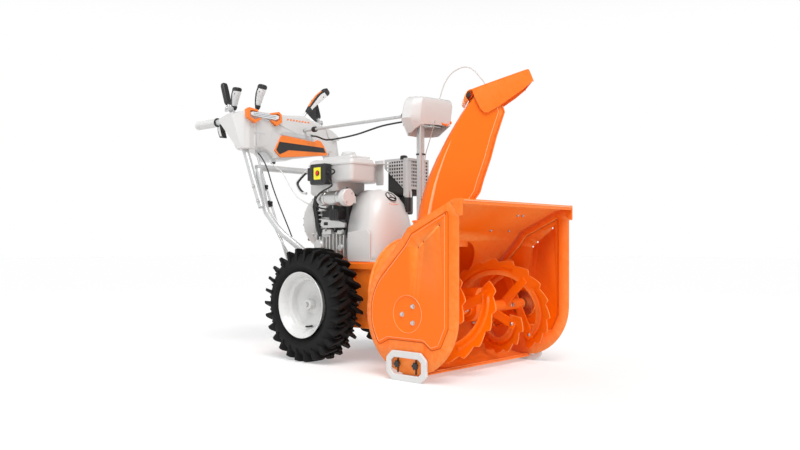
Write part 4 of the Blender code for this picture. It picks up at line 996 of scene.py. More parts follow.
def crankcase_fittings():
    """Bosses, bolts, plugs and the oil filler, with the rod and hoses that run down the right side."""
    bm = bmesh.new()
    add_turned(bm, [(0, -0.13), (0.012, -0.13), (0.014, -0.126), (0.014, -0.106), (0, -0.106)], "X",
               (0.7, 0.405), 24)
    add_turned(bm, [(0, -0.13), (0.02, -0.13), (0.024, -0.124), (0.024, -0.104), (0, -0.104)], "X",
               (0.82, 0.412), 28)
    add_turned(bm, [(0, -0.129), (0.016, -0.129), (0.019, -0.124), (0.019, -0.09), (0, -0.09)], "X",
               (0.79, 0.56), 24)
    add_turned(bm, [(0, 0.65), (0.06, 0.65), (0.064, 0.656), (0.064, 0.674), (0, 0.674)], "Y",
               (0.012, 0.51), 40)
    piece("crankcase_bosses", bm, METAL, sharp=30, bevel=0.0015)
    places = [(-0.1245, y, z) for y, z in ((0.69, 0.465), (0.742, 0.378), (0.78, 0.47), (0.85, 0.455))]
    places += [(-0.109, y, z) for y, z in ((0.706, 0.59), (0.846, 0.588), (0.775, 0.48))]
    bolts("crankcase_bolts", places, (-1, 0, 0), radius=0.0048, height=0.005)
    bolts("drain_plug", [(-0.09, 0.68, 0.372), (-0.06, 0.672, 0.4), (0.06, 0.672, 0.4)], (0, -1, 0),
          radius=0.008, height=0.007)
    filler = [(0, -0.134), (0.0085, -0.134), (0.0085, -0.124), (0.006, -0.124), (0.006, -0.11), (0, -0.11)]
    turned("oil_filler", filler, "X", (0.868, 0.392), BLACK, steps=20, sharp=30)
    tube("governor_rod", [(-0.112, 0.76, 0.6), (-0.122, 0.744, 0.56), (-0.124, 0.738, 0.5),
                          (-0.114, 0.742, 0.47)], 0.0024, STEEL, sides=10)
    tube("fuel_hose", [(-0.1, 0.69, 0.625), (-0.108, 0.682, 0.59), (-0.112, 0.676, 0.545),
                       (-0.104, 0.69, 0.5)], 0.0042, BLACK, sides=12)
    tube("breather_hose", [(-0.06, 0.69, 0.6), (-0.072, 0.668, 0.57), (-0.086, 0.662, 0.52),
                           (-0.09, 0.676, 0.47)], 0.005, BLACK, sides=12)


def carburettor_cover():
    """The black cover with four ribs."""
    outline = rounded([(0.688, 0.508), (0.688, 0.538), (0.696, 0.548), (0.728, 0.548), (0.736, 0.538),
                       (0.736, 0.512), (0.728, 0.504)], 0.006, 4)
    prism("carburettor_cover", outline, "X", -0.15, -0.11, BLACK, bevel=0.003, segments=3)
    boxes("carburettor_ribs", [((-0.1512, 0.696 + 0.009 * k, 0.512), (-0.149, 0.699 + 0.009 * k, 0.541))
                               for k in range(4)], BLACK, bevel=0.0008)


RECOIL_Z = 0.505
PULL_X = -0.115
# The handle pulls back and 15 degrees down
PULL_WAY = Vector((0, 0.9659, -0.2588))
ROPE_LENGTH, ROPE_R = 0.032, 0.0018


def recoil_starter():
    """The blower housing with its cooling slots, their insides painted shade, and the rope handle on its
    bracket.
    """
    centre = (0, RECOIL_Z)
    shell = [(0, 0.956), (0.02, 0.9555), (0.048, 0.953), (0.052, 0.95), (0.078, 0.948), (0.092, 0.942),
             (0.102, 0.931), (0.1072, 0.915), (0.108, 0.9), (0.108, 0.866), (0.106, 0.862), (0, 0.862)]
    turned("recoil_shell", shell, "Y", centre, WHITE, replaces=["recoil_housing"], steps=72, sharp=40)
    turned("recoil_band", [(0.1082, 0.868), (0.1095, 0.869), (0.1095, 0.876), (0.1082, 0.877)], "Y", centre,
           WHITE, steps=72, closed=True)
    # Dark blocks painted as the shade inside the cooling slots
    bm = bmesh.new()
    for ring_r, y, count, wide in ((0.062, 0.9508, 16, 0.0048), (0.083, 0.9458, 22, 0.005),
                                   (0.042, 0.9536, 10, 0.0044)):
        for k in range(count):
            turn = Matrix.Rotation(2 * math.pi * k / count, 4, "Y")
            tube_mesh(bm, [[Vector((0, 0, RECOIL_Z)) + turn @ Vector((x, y + out, ring_r + up))
                            for x, up in rectangle(0, 0, wide / 2, 0.007)] for out in (-0.003, 0.0018)])
    piece("recoil_slot_shade", bm, PAINTED_SHADE_BLACK, sharp=30)
    bolts("recoil_screws", [(0.098 * math.cos(a), 0.934, RECOIL_Z + 0.098 * math.sin(a))
                            for a in (0.6, 2.1, 3.9, 5.4)], (0, 1, 0), radius=0.005, height=0.004)
    loop = [(PULL_X, y, z) for y, z in ((0.884, 0.703), (0.904, 0.692), (0.925, 0.679), (0.946, 0.664),
                                        (0.955, 0.654), (0.951, 0.642), (0.937, 0.626), (0.922, 0.616),
                                        (0.9, 0.612))]
    tube("recoil_loop", loop, 0.005, PALE, "recoil", replaces=["recoil_handle"], sides=16)
    guide = [(0.0025, 0.857), (0.008, 0.857), (0.008, 0.8605), (0.006, 0.8625), (0.0025, 0.8625)]
    turned("rope_guide", guide, "Y", (PULL_X, 0.7095), STEEL, steps=32, closed=True)
    # The rope runs from its guide along the handle's pull
    rope_start = Vector((PULL_X, 0.854, 0.7111))
    route = [rope_start + PULL_WAY * (ROPE_LENGTH / 32 * k) for k in range(33)]
    rope = tube("starter_rope", route, ROPE_R, ROPE, body=None, smooth=False, sides=10, sharp=60)
    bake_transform(rope)
    tube("recoil_loop_core", [(x, y - 0.004, z) for x, y, z in loop[1:8]], 0.0048, BLACK, "recoil", sides=12)
    tube("recoil_bracket", [(PULL_X, 0.858, 0.706), (PULL_X, 0.868, 0.708), (PULL_X, 0.88, 0.704)], 0.004,
         GREY, sides=10)


CAP_X, CAP_Y = -0.065, 0.72


def fuel_tank():
    """A moulded tank: rounded body, seam flange, raised top and a plain pale cap."""
    body = rounded([(-0.145, 0.622), (-0.03, 0.622), (0.018, 0.655), (0.018, 0.858), (-0.145, 0.858)],
                   0.018, 6)
    levels = ((0.6445, 0.006), (0.648, 0.0015), (0.654, 0.0), (0.706, 0.0), (0.708, -0.0028),
              (0.7135, -0.0028), (0.7155, 0.0), (0.722, 0.002), (0.7275, 0.006), (0.731, 0.014),
              (0.7325, 0.026))
    stacked("tank_shell", body, levels, WHITE, replaces=["fuel_tank"], sharp=40)
    low = rounded([(-0.14, 0.706), (0.012, 0.706), (0.012, 0.854), (-0.14, 0.854)], 0.014, 5)
    stacked("tank_belly", low, ((0.599, 0.012), (0.603, 0.004), (0.61, 0), (0.646, 0)), WHITE, sharp=40)
    top = rounded([(-0.128, 0.642), (-0.03, 0.642), (0.002, 0.664), (0.002, 0.8), (-0.128, 0.8)], 0.016, 6)
    stacked("tank_top", top, ((0.728, 0), (0.737, 0.001), (0.74, 0.0035), (0.742, 0.009)), WHITE, sharp=40)
    cap = [(0, 0.7425), (0.024, 0.7425), (0.0258, 0.744), (0.0258, 0.754), (0.0235, 0.76), (0.015, 0.7618),
           (0, 0.761)]
    bm = bmesh.new()
    add_turned(bm, cap, "Z", (CAP_X, CAP_Y), 60)
    for k in range(24):
        a = 2 * math.pi * k / 24
        add_turned(bm, [(0, 0.7445), (0.0017, 0.7445), (0.0017, 0.7535), (0, 0.7545)], "Z",
                   (CAP_X + 0.0256 * math.cos(a), CAP_Y + 0.0256 * math.sin(a)), 8)
    piece("tank_cap", bm, PALE, "cap", replaces=["fuel_cap"], sharp=40)
    # Bracket that carries the guard off the tank
    web = rounded([(0.642, 0.64), (0.642, 0.733), (0.69, 0.733), (0.69, 0.716), (0.676, 0.64)], 0.004, 3)
    prism("guard_bracket", web, "X", 0.038, 0.043, WHITE, bevel=0.0015)
    prism("guard_bracket_flange", rounded([(0.636, 0.7165), (0.636, 0.7205), (0.698, 0.7205),
                                           (0.698, 0.7165)], 0.0018, 2), "X", 0.022, 0.05, WHITE,
          bevel=0.0012)


STARTER_X, STARTER_Z = -0.18, 0.583


def electric_starter():
    """A motor body with a lighter end disc, in its straps."""
    centre = (STARTER_X, STARTER_Z)
    body = [(0, 0.622), (0.0255, 0.622), (0.0262, 0.626), (0.0262, 0.738), (0.023, 0.744), (0.012, 0.7455),
            (0, 0.7455)]
    turned("starter_body", body, "Y", centre, STEEL, replaces=["electric_starter"], steps=48)
    turned("starter_head", [(0, 0.5985), (0.0285, 0.5985), (0.0308, 0.601), (0.0308, 0.621), (0.029, 0.624),
                            (0, 0.624)], "Y", centre, WHITE, steps=56)
    bm = bmesh.new()
    for y in (0.645, 0.705):
        add_turned(bm, [(0.0262, y), (0.0275, y + 0.0005), (0.0275, y + 0.0095), (0.0262, y + 0.01)], "Y",
                   centre, 48, closed=True)
    piece("starter_straps", bm, STEEL, sharp=30)
    bolts("starter_screws", [(STARTER_X + 0.021 * math.cos(a), 0.5985, STARTER_Z + 0.021 * math.sin(a))
                             for a in (0.9, 4.04)], (0, -1, 0), radius=0.0026, height=0.002, sides=12)
    boxes("starter_mount", [((-0.158, 0.64, 0.566), (-0.104, 0.654, 0.592)),
                            ((-0.158, 0.706, 0.566), (-0.104, 0.72, 0.592))], METAL, bevel=0.002)
    tube("starter_terminal", [(-0.19, 0.7, 0.606), (-0.19, 0.7, 0.622)], 0.0042, STEEL, smooth=False,
         sides=12)


PUSH = (0.76, 0.677)
KEY_X = -0.17


def switch():
    """The starter switch: a dark box with a plain yellow plate, a red button and a key that pulls out."""
    boxes("switch_case", [((-0.183, 0.722, 0.636), (-0.1455, 0.806, 0.712))], BLACK,
          replaces=["switch_box"], bevel=0.007, segments=4)
    bm = bmesh.new()
    add_box(bm, (-0.179, 0.806, 0.652), (-0.148, 0.822, 0.7))
    for y in (0.74, 0.79):
        add_box(bm, (-0.1848, y - 0.004, 0.642), (-0.18, y + 0.004, 0.707))
    piece("switch_ribs", bm, BLACK, bevel=0.0025, segments=3)
    plate = rounded([(0.738, 0.654), (0.738, 0.698), (0.781, 0.698), (0.781, 0.654)], 0.005, 4)
    prism("switch_plate", plate, "X", -0.1842, -0.181, YELLOW, bevel=0.0006)
    button = [(0, -0.19), (0.006, -0.1898), (0.0072, -0.1885), (0.0072, -0.1725), (0, -0.1725)]
    turned("starter_push", button, "X", PUSH, RED, "start_button", replaces=["starter_button"], steps=32)
    turned("starter_push_collar", [(0.0078, -0.1866), (0.0098, -0.186), (0.0102, -0.1835),
                                   (0.0078, -0.1835)], "X", PUSH, BLACK, steps=36, closed=True)
    boxes("ignition_key_blade", [((-0.1752, 0.708, 0.675), (-0.1648, 0.7325, 0.683))], BLACK, "key",
          replaces=["ignition_key"], bevel=0.0012)
    bow = [(KEY_X, y, z) for y, z in ((0.716, 0.687), (0.704, 0.6885), (0.69, 0.6868), (0.6835, 0.68),
                                      (0.69, 0.6735), (0.704, 0.67), (0.716, 0.6715))]
    tube("ignition_key_bow", bow, 0.0028, BLACK, "key", sides=12)


OUTLET = (0.06, 0.534)
GUARD_NUT = (0.056, 0.552)


def exhaust():
    """A silencer behind its perforated guard, whose holes are cut in rows."""
    low, high = Vector((0.045, 0.524, 0.621)), Vector((0.165, 0.64, 0.735))
    # The silencer is black, and its near-black also stands as painted shade in the gap behind the guard
    boxes("silencer", [((0.051, 0.531, 0.6), (0.159, 0.634, 0.728))], PAINTED_SHADE_BLACK, replaces=["muffler"],
          bevel=0.014, segments=4)
    guard = boxes("silencer_guard", [(low, high)], GREY, replaces=["muffler_guard"], sharp=30)
    hollow = boxes("hollow_cut", [((low.x + 0.002, low.y + 0.002, 0.58),
                                   (high.x - 0.002, 0.7, high.z - 0.002))], GREY, body=None)
    tools = [hollow]
    holes = bmesh.new()
    for row in range(8):
        z = low.z + 0.014 + 0.0125 * row
        for column in range(9):
            x = low.x + 0.012 + 0.012 * column
            if column == 4 or x > high.x - 0.006:
                continue
            add_box(holes, (x - 0.004, low.y - 0.02, z - 0.0036), (x + 0.004, low.y + 0.006, z + 0.0036))
        for column in range(8):
            y = low.y + 0.016 + 0.012 * column
            for x in (low.x, high.x):
                add_box(holes, (x - 0.01, y - 0.004, z - 0.0036), (x + 0.01, y + 0.004, z + 0.0036))
    for row in range(7):
        for column in range(7):
            x, y = low.x + 0.022 + 0.0125 * column, low.y + 0.022 + 0.0125 * row
            add_box(holes, (x - 0.0042, y - 0.0038, high.z - 0.01), (x + 0.0042, y + 0.0038, high.z + 0.01))
    tools.append(piece("hole_cut", holes, GREY, body=None))
    tools.append(prism("corner_cut", [(0.7, 0.6), (0.7, 0.702), (0.64, 0.702), (0.543, 0.6215),
                                      (0.543, 0.6)], "X", low.x - 0.01, low.x + 0.03, GREY, body=None))
    cut_with(guard, *tools)
    edges = guard.modifiers.new("edges", "BEVEL")
    edges.width, edges.segments, edges.limit_method = 0.0004, 1, "ANGLE"
    exhaust_trim(low, high)


def exhaust_trim(low, high):
    """The guard's corner angle, its hand nut, the outlet pipe, and the air filter beside it."""
    angle = ((-0.0015, -0.0015), (0.022, -0.0015), (0.022, 0.003), (0.003, 0.003), (0.003, 0.02),
             (-0.0015, 0.02))
    rib = rounded([(low.x + x, low.y + y) for x, y in angle], 0.0015, 2)
    prism("guard_corner", rib, "Z", low.z - 0.026, high.z - 0.01, GREY, bevel=0.0008)
    turned("guard_nut", [(0, 0.73), (0.0135, 0.73), (0.014, 0.733), (0.0135, 0.742), (0.0105, 0.745),
                         (0, 0.7452)], "Z", GUARD_NUT, BLACK, steps=32)
    turned("guard_nut_centre", [(0, 0.744), (0.006, 0.744), (0.006, 0.7468), (0, 0.7472)], "Z", GUARD_NUT,
           STEEL, steps=6)
    turned("exhaust_outlet", [(0, 0.536), (0.0115, 0.536), (0.0125, 0.54), (0.0125, 0.59), (0, 0.59)], "Z",
           OUTLET, BLACK, steps=32)
    turned("exhaust_collar", [(0, 0.59), (0.0138, 0.59), (0.014, 0.592), (0.014, 0.612), (0, 0.612)], "Z",
           OUTLET, STEEL, steps=32)
    turned("air_filter_can", [(0, 0.53), (0.026, 0.53), (0.03, 0.535), (0.03, 0.612), (0.026, 0.618),
                              (0, 0.618)], "Z", (0.105, 0.59), BLACK, steps=40)
    boxes("intake_elbow", [((0.08, 0.59, 0.545), (0.13, 0.69, 0.585))], BLACK, bevel=0.01, segments=4)


block()
carburettor_cover()
recoil_starter()
fuel_tank()
electric_starter()
switch()
exhaust()

# Handlebar, console and levers


def handlebar():
    """Lower loop with its crossbar, upper tubes, clamp bolts, wing knobs and grips."""
    right = [(-0.1455, 0.8, 0.3), (-0.1455, 0.836, 0.346), (-0.15, 0.868, 0.385), (-0.175, 0.903, 0.423),
             (-LEG_X, 0.945, 0.463), (-LEG_X, 1.014, 0.523), (-LEG_X, 1.039, 0.552), (-LEG_X, 1.064, 0.632),
             (-LEG_X, 1.082, 0.694), (-0.192, 1.0875, 0.711), (-0.172, 1.089, 0.717)]
    left = [(-x, y, z) for x, y, z in reversed(right)]
    tube("handlebar_loop", right + left, TUBE_R, GREY, replaces=["handlebar_lower"], per_span=5, sides=24)
    knobs = bmesh.new()
    for word, side in SIDES:
        route = [(side * x, y, z) for x, y, z in (
            (UPPER_X, 1.0302, 0.56), (UPPER_X, 1.082, 0.672), (UPPER_X, 1.13, 0.78), (0.231, 1.172, 0.856),
            (0.236, 1.21, 0.893), (GRIP_X, 1.25, 0.907), (GRIP_X, 1.29, GRIP_Z), (GRIP_X, 1.431, GRIP_Z))]
        tube(f"handlebar_tube_{word}", route, TUBE_R, GREY, replaces=[f"handlebar_upper_{word}"], sides=24)
        grip = [(0.0132, 1.303), (0.0165, 1.3025), (0.0176, 1.306), (0.0176, 1.314), (0.016, 1.317)]
        for k in range(12):
            y = 1.32 + 0.0088 * k
            grip += [(0.016, y), (0.0174, y + 0.0018), (0.0174, y + 0.0056), (0.016, y + 0.0074)]
        grip += [(0.0162, 1.429), (0.0176, 1.431), (0.0178, 1.4335), (0.0165, 1.4375), (0.006, 1.438),
                 (0, 1.438)]
        turned(f"grip_{word}_ribbed", grip, "Y", (side * GRIP_X, GRIP_Z), PALE, replaces=[f"grip_{word}"],
               steps=40, sharp=40)
        heads = [(side * (UPPER_X + 0.0125), y, z) for y, z in ((1.065, 0.64), (1.038, 0.583))]
        bolts(f"clamp_bolts_{word}", heads, (side, 0, 0), radius=0.006, height=0.0045, sides=16)
        bolts(f"leg_bolts_{word}", [(side * 0.1585, 0.825, 0.33), (side * 0.1585, 0.858, 0.368)],
              (side, 0, 0), radius=0.0062, height=0.0055)
        for y, z in ((1.072, 0.64), (1.044, 0.575)):
            add_knob(knobs, (side * (LEG_X - TUBE_R + 0.001), y, z), -side, 0.0125, 0.018)
        spring = [(side * 0.183, 1.01, 0.486), (side * 0.18, 0.97, 0.43), (side * 0.176, 0.93, 0.378)]
        tube(f"shift_link_{word}", spring, 0.0034, STEEL, sides=10)
    piece("wing_knobs", knobs, BLACK, sharp=30)
    tube("shift_rod", [(-0.182, 1.125, 0.79), (-0.178, 1.088, 0.69), (-0.172, 1.04, 0.57),
                       (-0.168, 1.0, 0.47), (-0.163, 0.965, 0.38), (-0.158, 0.93, 0.3)], 0.0045, GREY,
         sides=14)


WING_X = 0.212
# The wings' sections: X, then front bottom, rear bottom, rear low, rear top, top and front top
WING_SECTIONS = (
    (WING_X - 0.018, (1.1035, 0.792), (1.142, 0.787), (1.262, 0.902), (1.272, 0.92), (1.25, 0.94),
     (1.1035, 0.9425)),
    (0.23, (1.1035, 0.7905), (1.142, 0.7865), (1.262, 0.902), (1.272, 0.92), (1.245, 0.9395),
     (1.1035, 0.942)),
    (0.244, (1.1055, 0.79), (1.1415, 0.7862), (1.2615, 0.9025), (1.271, 0.92), (1.235, 0.937),
     (1.117, 0.939)),
    (0.256, (1.1085, 0.79), (1.1405, 0.786), (1.26, 0.903), (1.269, 0.919), (1.215, 0.933),
     (1.16, 0.93)),
    (0.262, (1.112, 0.793), (1.1375, 0.7895), (1.256, 0.904), (1.264, 0.917), (1.203, 0.9285),
     (1.174, 0.922)),
)
CONSOLE = [(-0.255, 0.789), (-0.172, 0.795), (-0.139, 0.783), (-0.108, 0.757), (-0.039, 0.757),
           (0.0, 0.768), (0.174, 0.796), (0.252, 0.819), (0.25, 0.88), (0.203, 0.905), (0.133, 0.931),
           (0.053, 0.952), (-0.05, 0.943), (-0.25, 0.943)]


def clipped(points, limit):
    """An outline cut off where its first coordinate passes the limit on either side."""
    for side in (-1, 1):
        kept = []
        for a, b in zip(points, points[1:] + points[:1]):
            if side * a[0] <= limit:
                kept.append(a)
            if (side * a[0] <= limit) != (side * b[0] <= limit):
                share = (side * limit - a[0]) / (b[0] - a[0])
                kept.append((side * limit, a[1] + share * (b[1] - a[1])))
        points = kept
    return points


def console():
    """The dash moulding: a faceted front with wings round the tubes, open behind."""
    outline = rounded(clipped(CONSOLE, WING_X), 0.012, 4)
    bm = bmesh.new()
    rings = [[Vector((x, CONSOLE_FRONT + back, z)) for x, z in inset(outline, shrink)]
             for back, shrink in ((0, 0.012), (0.0015, 0.007), (0.005, 0.003), (0.011, 0.0006), (0.02, 0))]
    # The open back leans forward towards the bottom, where the console is shallower
    rings.append([Vector((x, min(1.3, max(1.195, 1.195 + 1.036 * (z - 0.783))), z)) for x, z in outline])
    rows = [[bm.verts.new(p) for p in ring] for ring in rings]
    skin(bm, rows)
    bm.faces.new(rows[0])
    inner = [[bm.verts.new((x, rim.y if back else CONSOLE_FRONT + 0.006, z))
              for rim, (x, z) in zip(rings[-1], inset(outline, 0.004))] for back in (True, False)]
    band(bm, rows[-1], inner[0])
    band(bm, inner[0], inner[1])
    bm.faces.new(inner[1])
    shell = piece("dash_shell", bm, WHITE, replaces=["console"], sharp=30)
    cutters = [boxes("slot_cut", [(low, high)], WHITE, body=None) for low, high in (
        ((-0.192, 1.248, 0.92), (-0.172, 1.294, 0.97)), ((-0.129, 1.15, 0.92), (-0.109, 1.23, 0.97)),
        ((0.01, 1.188, 0.905), (0.18, 1.212, 0.97)), ((0.078, 1.09, 0.864), (0.092, 1.12, 0.878)))]
    cutters.append(drill("rod_cut", 0.0095, 1.05, 1.13, "Y", (ROD_X, ROD_Z), steps=24))
    cut_with(shell, *cutters)
    console_wings()
    dress_console()


def console_wings():
    """The tapering ends of the dash, which wrap round the handlebar's tubes. The left one slopes down."""
    for word, side in SIDES:
        top = 0.0 if side < 0 else -0.05
        rings = []
        for x, *outline in WING_SECTIONS:
            rings.append([Vector((side * x, y, z + top * max(0.0, (z - 0.82) / 0.12) * (y < 1.2)))
                          for y, z in rounded(outline, 0.005, 3)])
        lofted(f"dash_wing_{word}", rings, WHITE, sharp=20)


def dress_console():
    """Seams, the plain badge and dashes, the ledge, the cable box, the collars and the throttle rests."""
    front = CONSOLE_FRONT
    strips = bmesh.new()
    seam = [(-0.116, 0.896), (-0.125, 0.843), (-0.138, 0.812), (-0.17, 0.803)]
    for (x0, z0), (x1, z1) in zip(seam, seam[1:]):
        add_prism(strips, [(x0 - 0.0006, z0), (x0 + 0.0006, z0), (x1 + 0.0006, z1), (x1 - 0.0006, z1)], "Y",
                  front - 0.0003, front + 0.003)
    add_box(strips, (-0.207, front - 0.0003, 0.852), (-0.156, front + 0.003, 0.858))
    add_box(strips, (-0.185, front - 0.0003, 0.829), (-0.1805, front + 0.003, 0.852))
    piece("dash_seams", strips, GREY)
    badge = rounded([(-0.112, 0.793), (-0.077, 0.855), (-0.06, 0.857), (0.098, 0.846), (0.118, 0.856),
                     (0.136, 0.852), (0.152, 0.836), (0.176, 0.796), (-0.081, 0.767)], 0.003, 3)
    prism("badge_plate", badge, "Y", front - 0.0052, front + 0.002, TRIM, bevel=0.0012)
    band_shape = rounded([(-0.104, 0.796), (-0.088, 0.83), (0.15, 0.826), (0.164, 0.806), (-0.04, 0.8),
                          (-0.066, 0.788), (-0.088, 0.779)], 0.002, 3)
    prism("badge_band", band_shape, "Y", front - 0.006, front - 0.004, BLACK, bevel=0.0005)
    # A grey band painted as the shade of a recess in the dash's front
    shaded_band = rounded([(-0.086, 0.864), (-0.055, 0.874), (0.041, 0.872), (0.096, 0.862), (0.1, 0.853),
                      (-0.071, 0.8585)], 0.003, 3)
    prism("dash_painted_shade", shaded_band, "Y", front - 0.002, front + 0.002, GREY, bevel=0.001)
    ledge = [(-0.12, 0.762), (-0.12, 0.766), (0.178, 0.799), (0.178, 0.795)]
    prism("dash_lower_ledge", ledge, "Y", front - 0.001, front + 0.004, WHITE, bevel=0.0008)
    ticks = bmesh.new()
    for k in range(8):
        x = -0.046 + 0.0157 * k
        add_prism(ticks, [(x, 0.9215), (x + 0.009, 0.9215), (x + 0.0115, 0.928), (x + 0.0025, 0.928)], "Y",
                  front - 0.0004, front + 0.003)
    piece("dash_stripe", ticks, TRIM)
    headlight(front)
    under = rounded([(-0.158, 0.797), (-0.106, 0.78), (-0.088, 0.749), (-0.129, 0.748), (-0.162, 0.778)],
                    0.005, 3)
    prism("cable_box", under, "Y", front + 0.012, front + 0.06, GREY, bevel=0.003)
    turned("cable_box_plug", [(0, 0.742), (0.009, 0.742), (0.01, 0.748), (0.01, 0.758), (0, 0.758)], "Z",
           (-0.094, 1.128), BLACK, steps=24)
    collar = [(0.0062, 1.03), (0.0105, 1.03), (0.0115, 1.033), (0.0115, 1.044), (0.01, 1.048),
              (0.0062, 1.048)]
    turned("rod_collar", collar, "Y", (ROD_X, ROD_Z), BLACK, "chute_control", steps=32, closed=True)
    pod = rounded([(0.168, 0.914), (0.2, 0.905), (0.236, 0.884), (0.248, 0.866), (0.212, 0.862),
                   (0.18, 0.872)], 0.006, 4)
    prism("dash_pod", pod, "Y", front - 0.006, front + 0.01, PALE, bevel=0.003, segments=3)
    for word, side in SIDES:
        nut = [(0.0128, 1.296), (0.017, 1.296), (0.0185, 1.2985), (0.0185, 1.3015), (0.0128, 1.3018)]
        turned(f"grip_collar_{word}", nut, "Y", (side * GRIP_X, GRIP_Z), BLACK, steps=32, closed=True)
        trigger = rounded([(1.266, 0.897), (1.289, 0.893), (1.286, 0.872), (1.274, 0.846), (1.246, 0.842),
                           (1.258, 0.872)], 0.004, 3)
        prism(f"throttle_rest_{word}", trigger, "X", side * 0.232, side * 0.25, BLACK, bevel=0.002)
        prism(f"throttle_rest_face_{word}", inset(trigger, 0.006), "X", side * 0.249, side * 0.2512, WHITE,
              bevel=0.0006)


def headlight(front):
    """A bright lamp bar between two C-shaped trims."""
    bar = rounded([(-0.235, 0.931), (-0.223, 0.9355), (-0.127, 0.933), (-0.109, 0.9355), (-0.092, 0.932),
                   (-0.095, 0.919), (-0.112, 0.914), (-0.219, 0.9175), (-0.233, 0.921)], 0.002, 3)
    prism("lamp_bar", bar, "Y", front - 0.0105, front + 0.004, CHROME, bevel=0.0018, segments=3,
          replaces=["headlight"])
    lines = bmesh.new()
    for z in (0.9215, 0.9275):
        add_prism(lines, [(-0.22, z + 0.0005), (-0.11, z - 0.0012), (-0.11, z + 0.0002),
                          (-0.22, z + 0.0019)], "Y", front - 0.0109, front - 0.008)
    piece("lamp_lines", lines, BLACK)
    left = [(-0.254, 0.94), (-0.241, 0.949), (-0.2, 0.944), (-0.198, 0.936), (-0.23, 0.939),
            (-0.238, 0.935), (-0.237, 0.912), (-0.216, 0.904), (-0.194, 0.912), (-0.181, 0.911),
            (-0.212, 0.891), (-0.25, 0.909)]
    right = [(-0.131, 0.94), (-0.095, 0.948), (-0.082, 0.938), (-0.08, 0.908), (-0.107, 0.89),
             (-0.133, 0.907), (-0.131, 0.911), (-0.109, 0.907), (-0.091, 0.917), (-0.091, 0.935),
             (-0.101, 0.939), (-0.129, 0.932)]
    for name, shape in (("left", left), ("right", right)):
        prism(f"lamp_trim_{name}", rounded(shape, 0.0008, 2), "Y", front - 0.013, front + 0.003, TRIM,
              bevel=0.001)


def lever(name, body, base, top, half, depth, back_side):
    """A white hand lever with a dark curved back, a cap and a boot; returns across it and behind it."""
    foot, head = Vector(base), Vector(top)
    up = (head - foot).normalized()
    across = Vector((1, 0, 0)) if abs(up.x) < 0.5 else Vector((0, 1, 0))
    back = across.cross(up).normalized()
    back = back if back.dot(Vector(back_side)) > 0 else -back

    def loft(suffix, mat, rows, corner, sharp=50):
        rings = []
        for share, wide, low, high in rows:
            centre = foot.lerp(head, share)
            outline = rounded([(-half * wide, low * depth), (half * wide, low * depth),
                               (half * wide, high * depth), (-half * wide, high * depth)], corner, 3)
            rings.append([centre + across * a + back * b for a, b in outline])
        lofted(f"{name}_{suffix}", rings, mat, body, sharp=sharp)

    loft("body", LEVER, ((0.06, 0.66, -0.36, 0.42), (0.12, 0.74, -0.46, 0.45), (0.45, 0.88, -0.76, 0.62),
                         (0.66, 1.0, -1.02, 0.62), (0.8, 1.04, -1.14, 0.3), (0.84, 1.0, -1.08, 0.2)), 0.003)
    loft("back", BLACK, ((0.04, 0.7, 0.2, 0.62), (0.12, 0.82, 0.35, 0.72), (0.3, 0.84, 0.42, 0.98),
                         (0.55, 0.86, 0.5, 1.16), (0.7, 0.9, 0.3, 1.02), (0.84, 0.94, -0.2, 0.8)), 0.0022)
    loft("cap", BLACK, ((0.8, 0.96, -1.02, 0.7), (0.83, 1.1, -1.22, 0.82), (0.9, 1.14, -1.3, 0.78),
                        (0.96, 1.08, -1.2, 0.62), (0.99, 0.86, -0.96, 0.44), (1.0, 0.5, -0.6, 0.2)), 0.005,
         60)
    loft("boot", BLACK, ((-0.1, 0.42, -0.26, 0.26), (-0.04, 0.66, -0.42, 0.52), (0.06, 0.78, -0.52, 0.62),
                         (0.11, 0.72, -0.46, 0.58)), 0.0035, 60)
    rivet = foot.lerp(head, 0.68) - back * (0.95 * depth)
    for sign in (-1, 1):
        bm = bmesh.new()
        add_bolt(bm, rivet + across * (sign * half * 0.98) + back * (depth * 0.55), across * sign, 0.0024,
                 0.0008, 1.0, 12)
        piece(f"{name}_mark_{'far' if sign > 0 else 'near'}", bm, BLACK, body, sharp=30)
    return across, back


SPEED_X, TILT_X = -0.182, -0.119


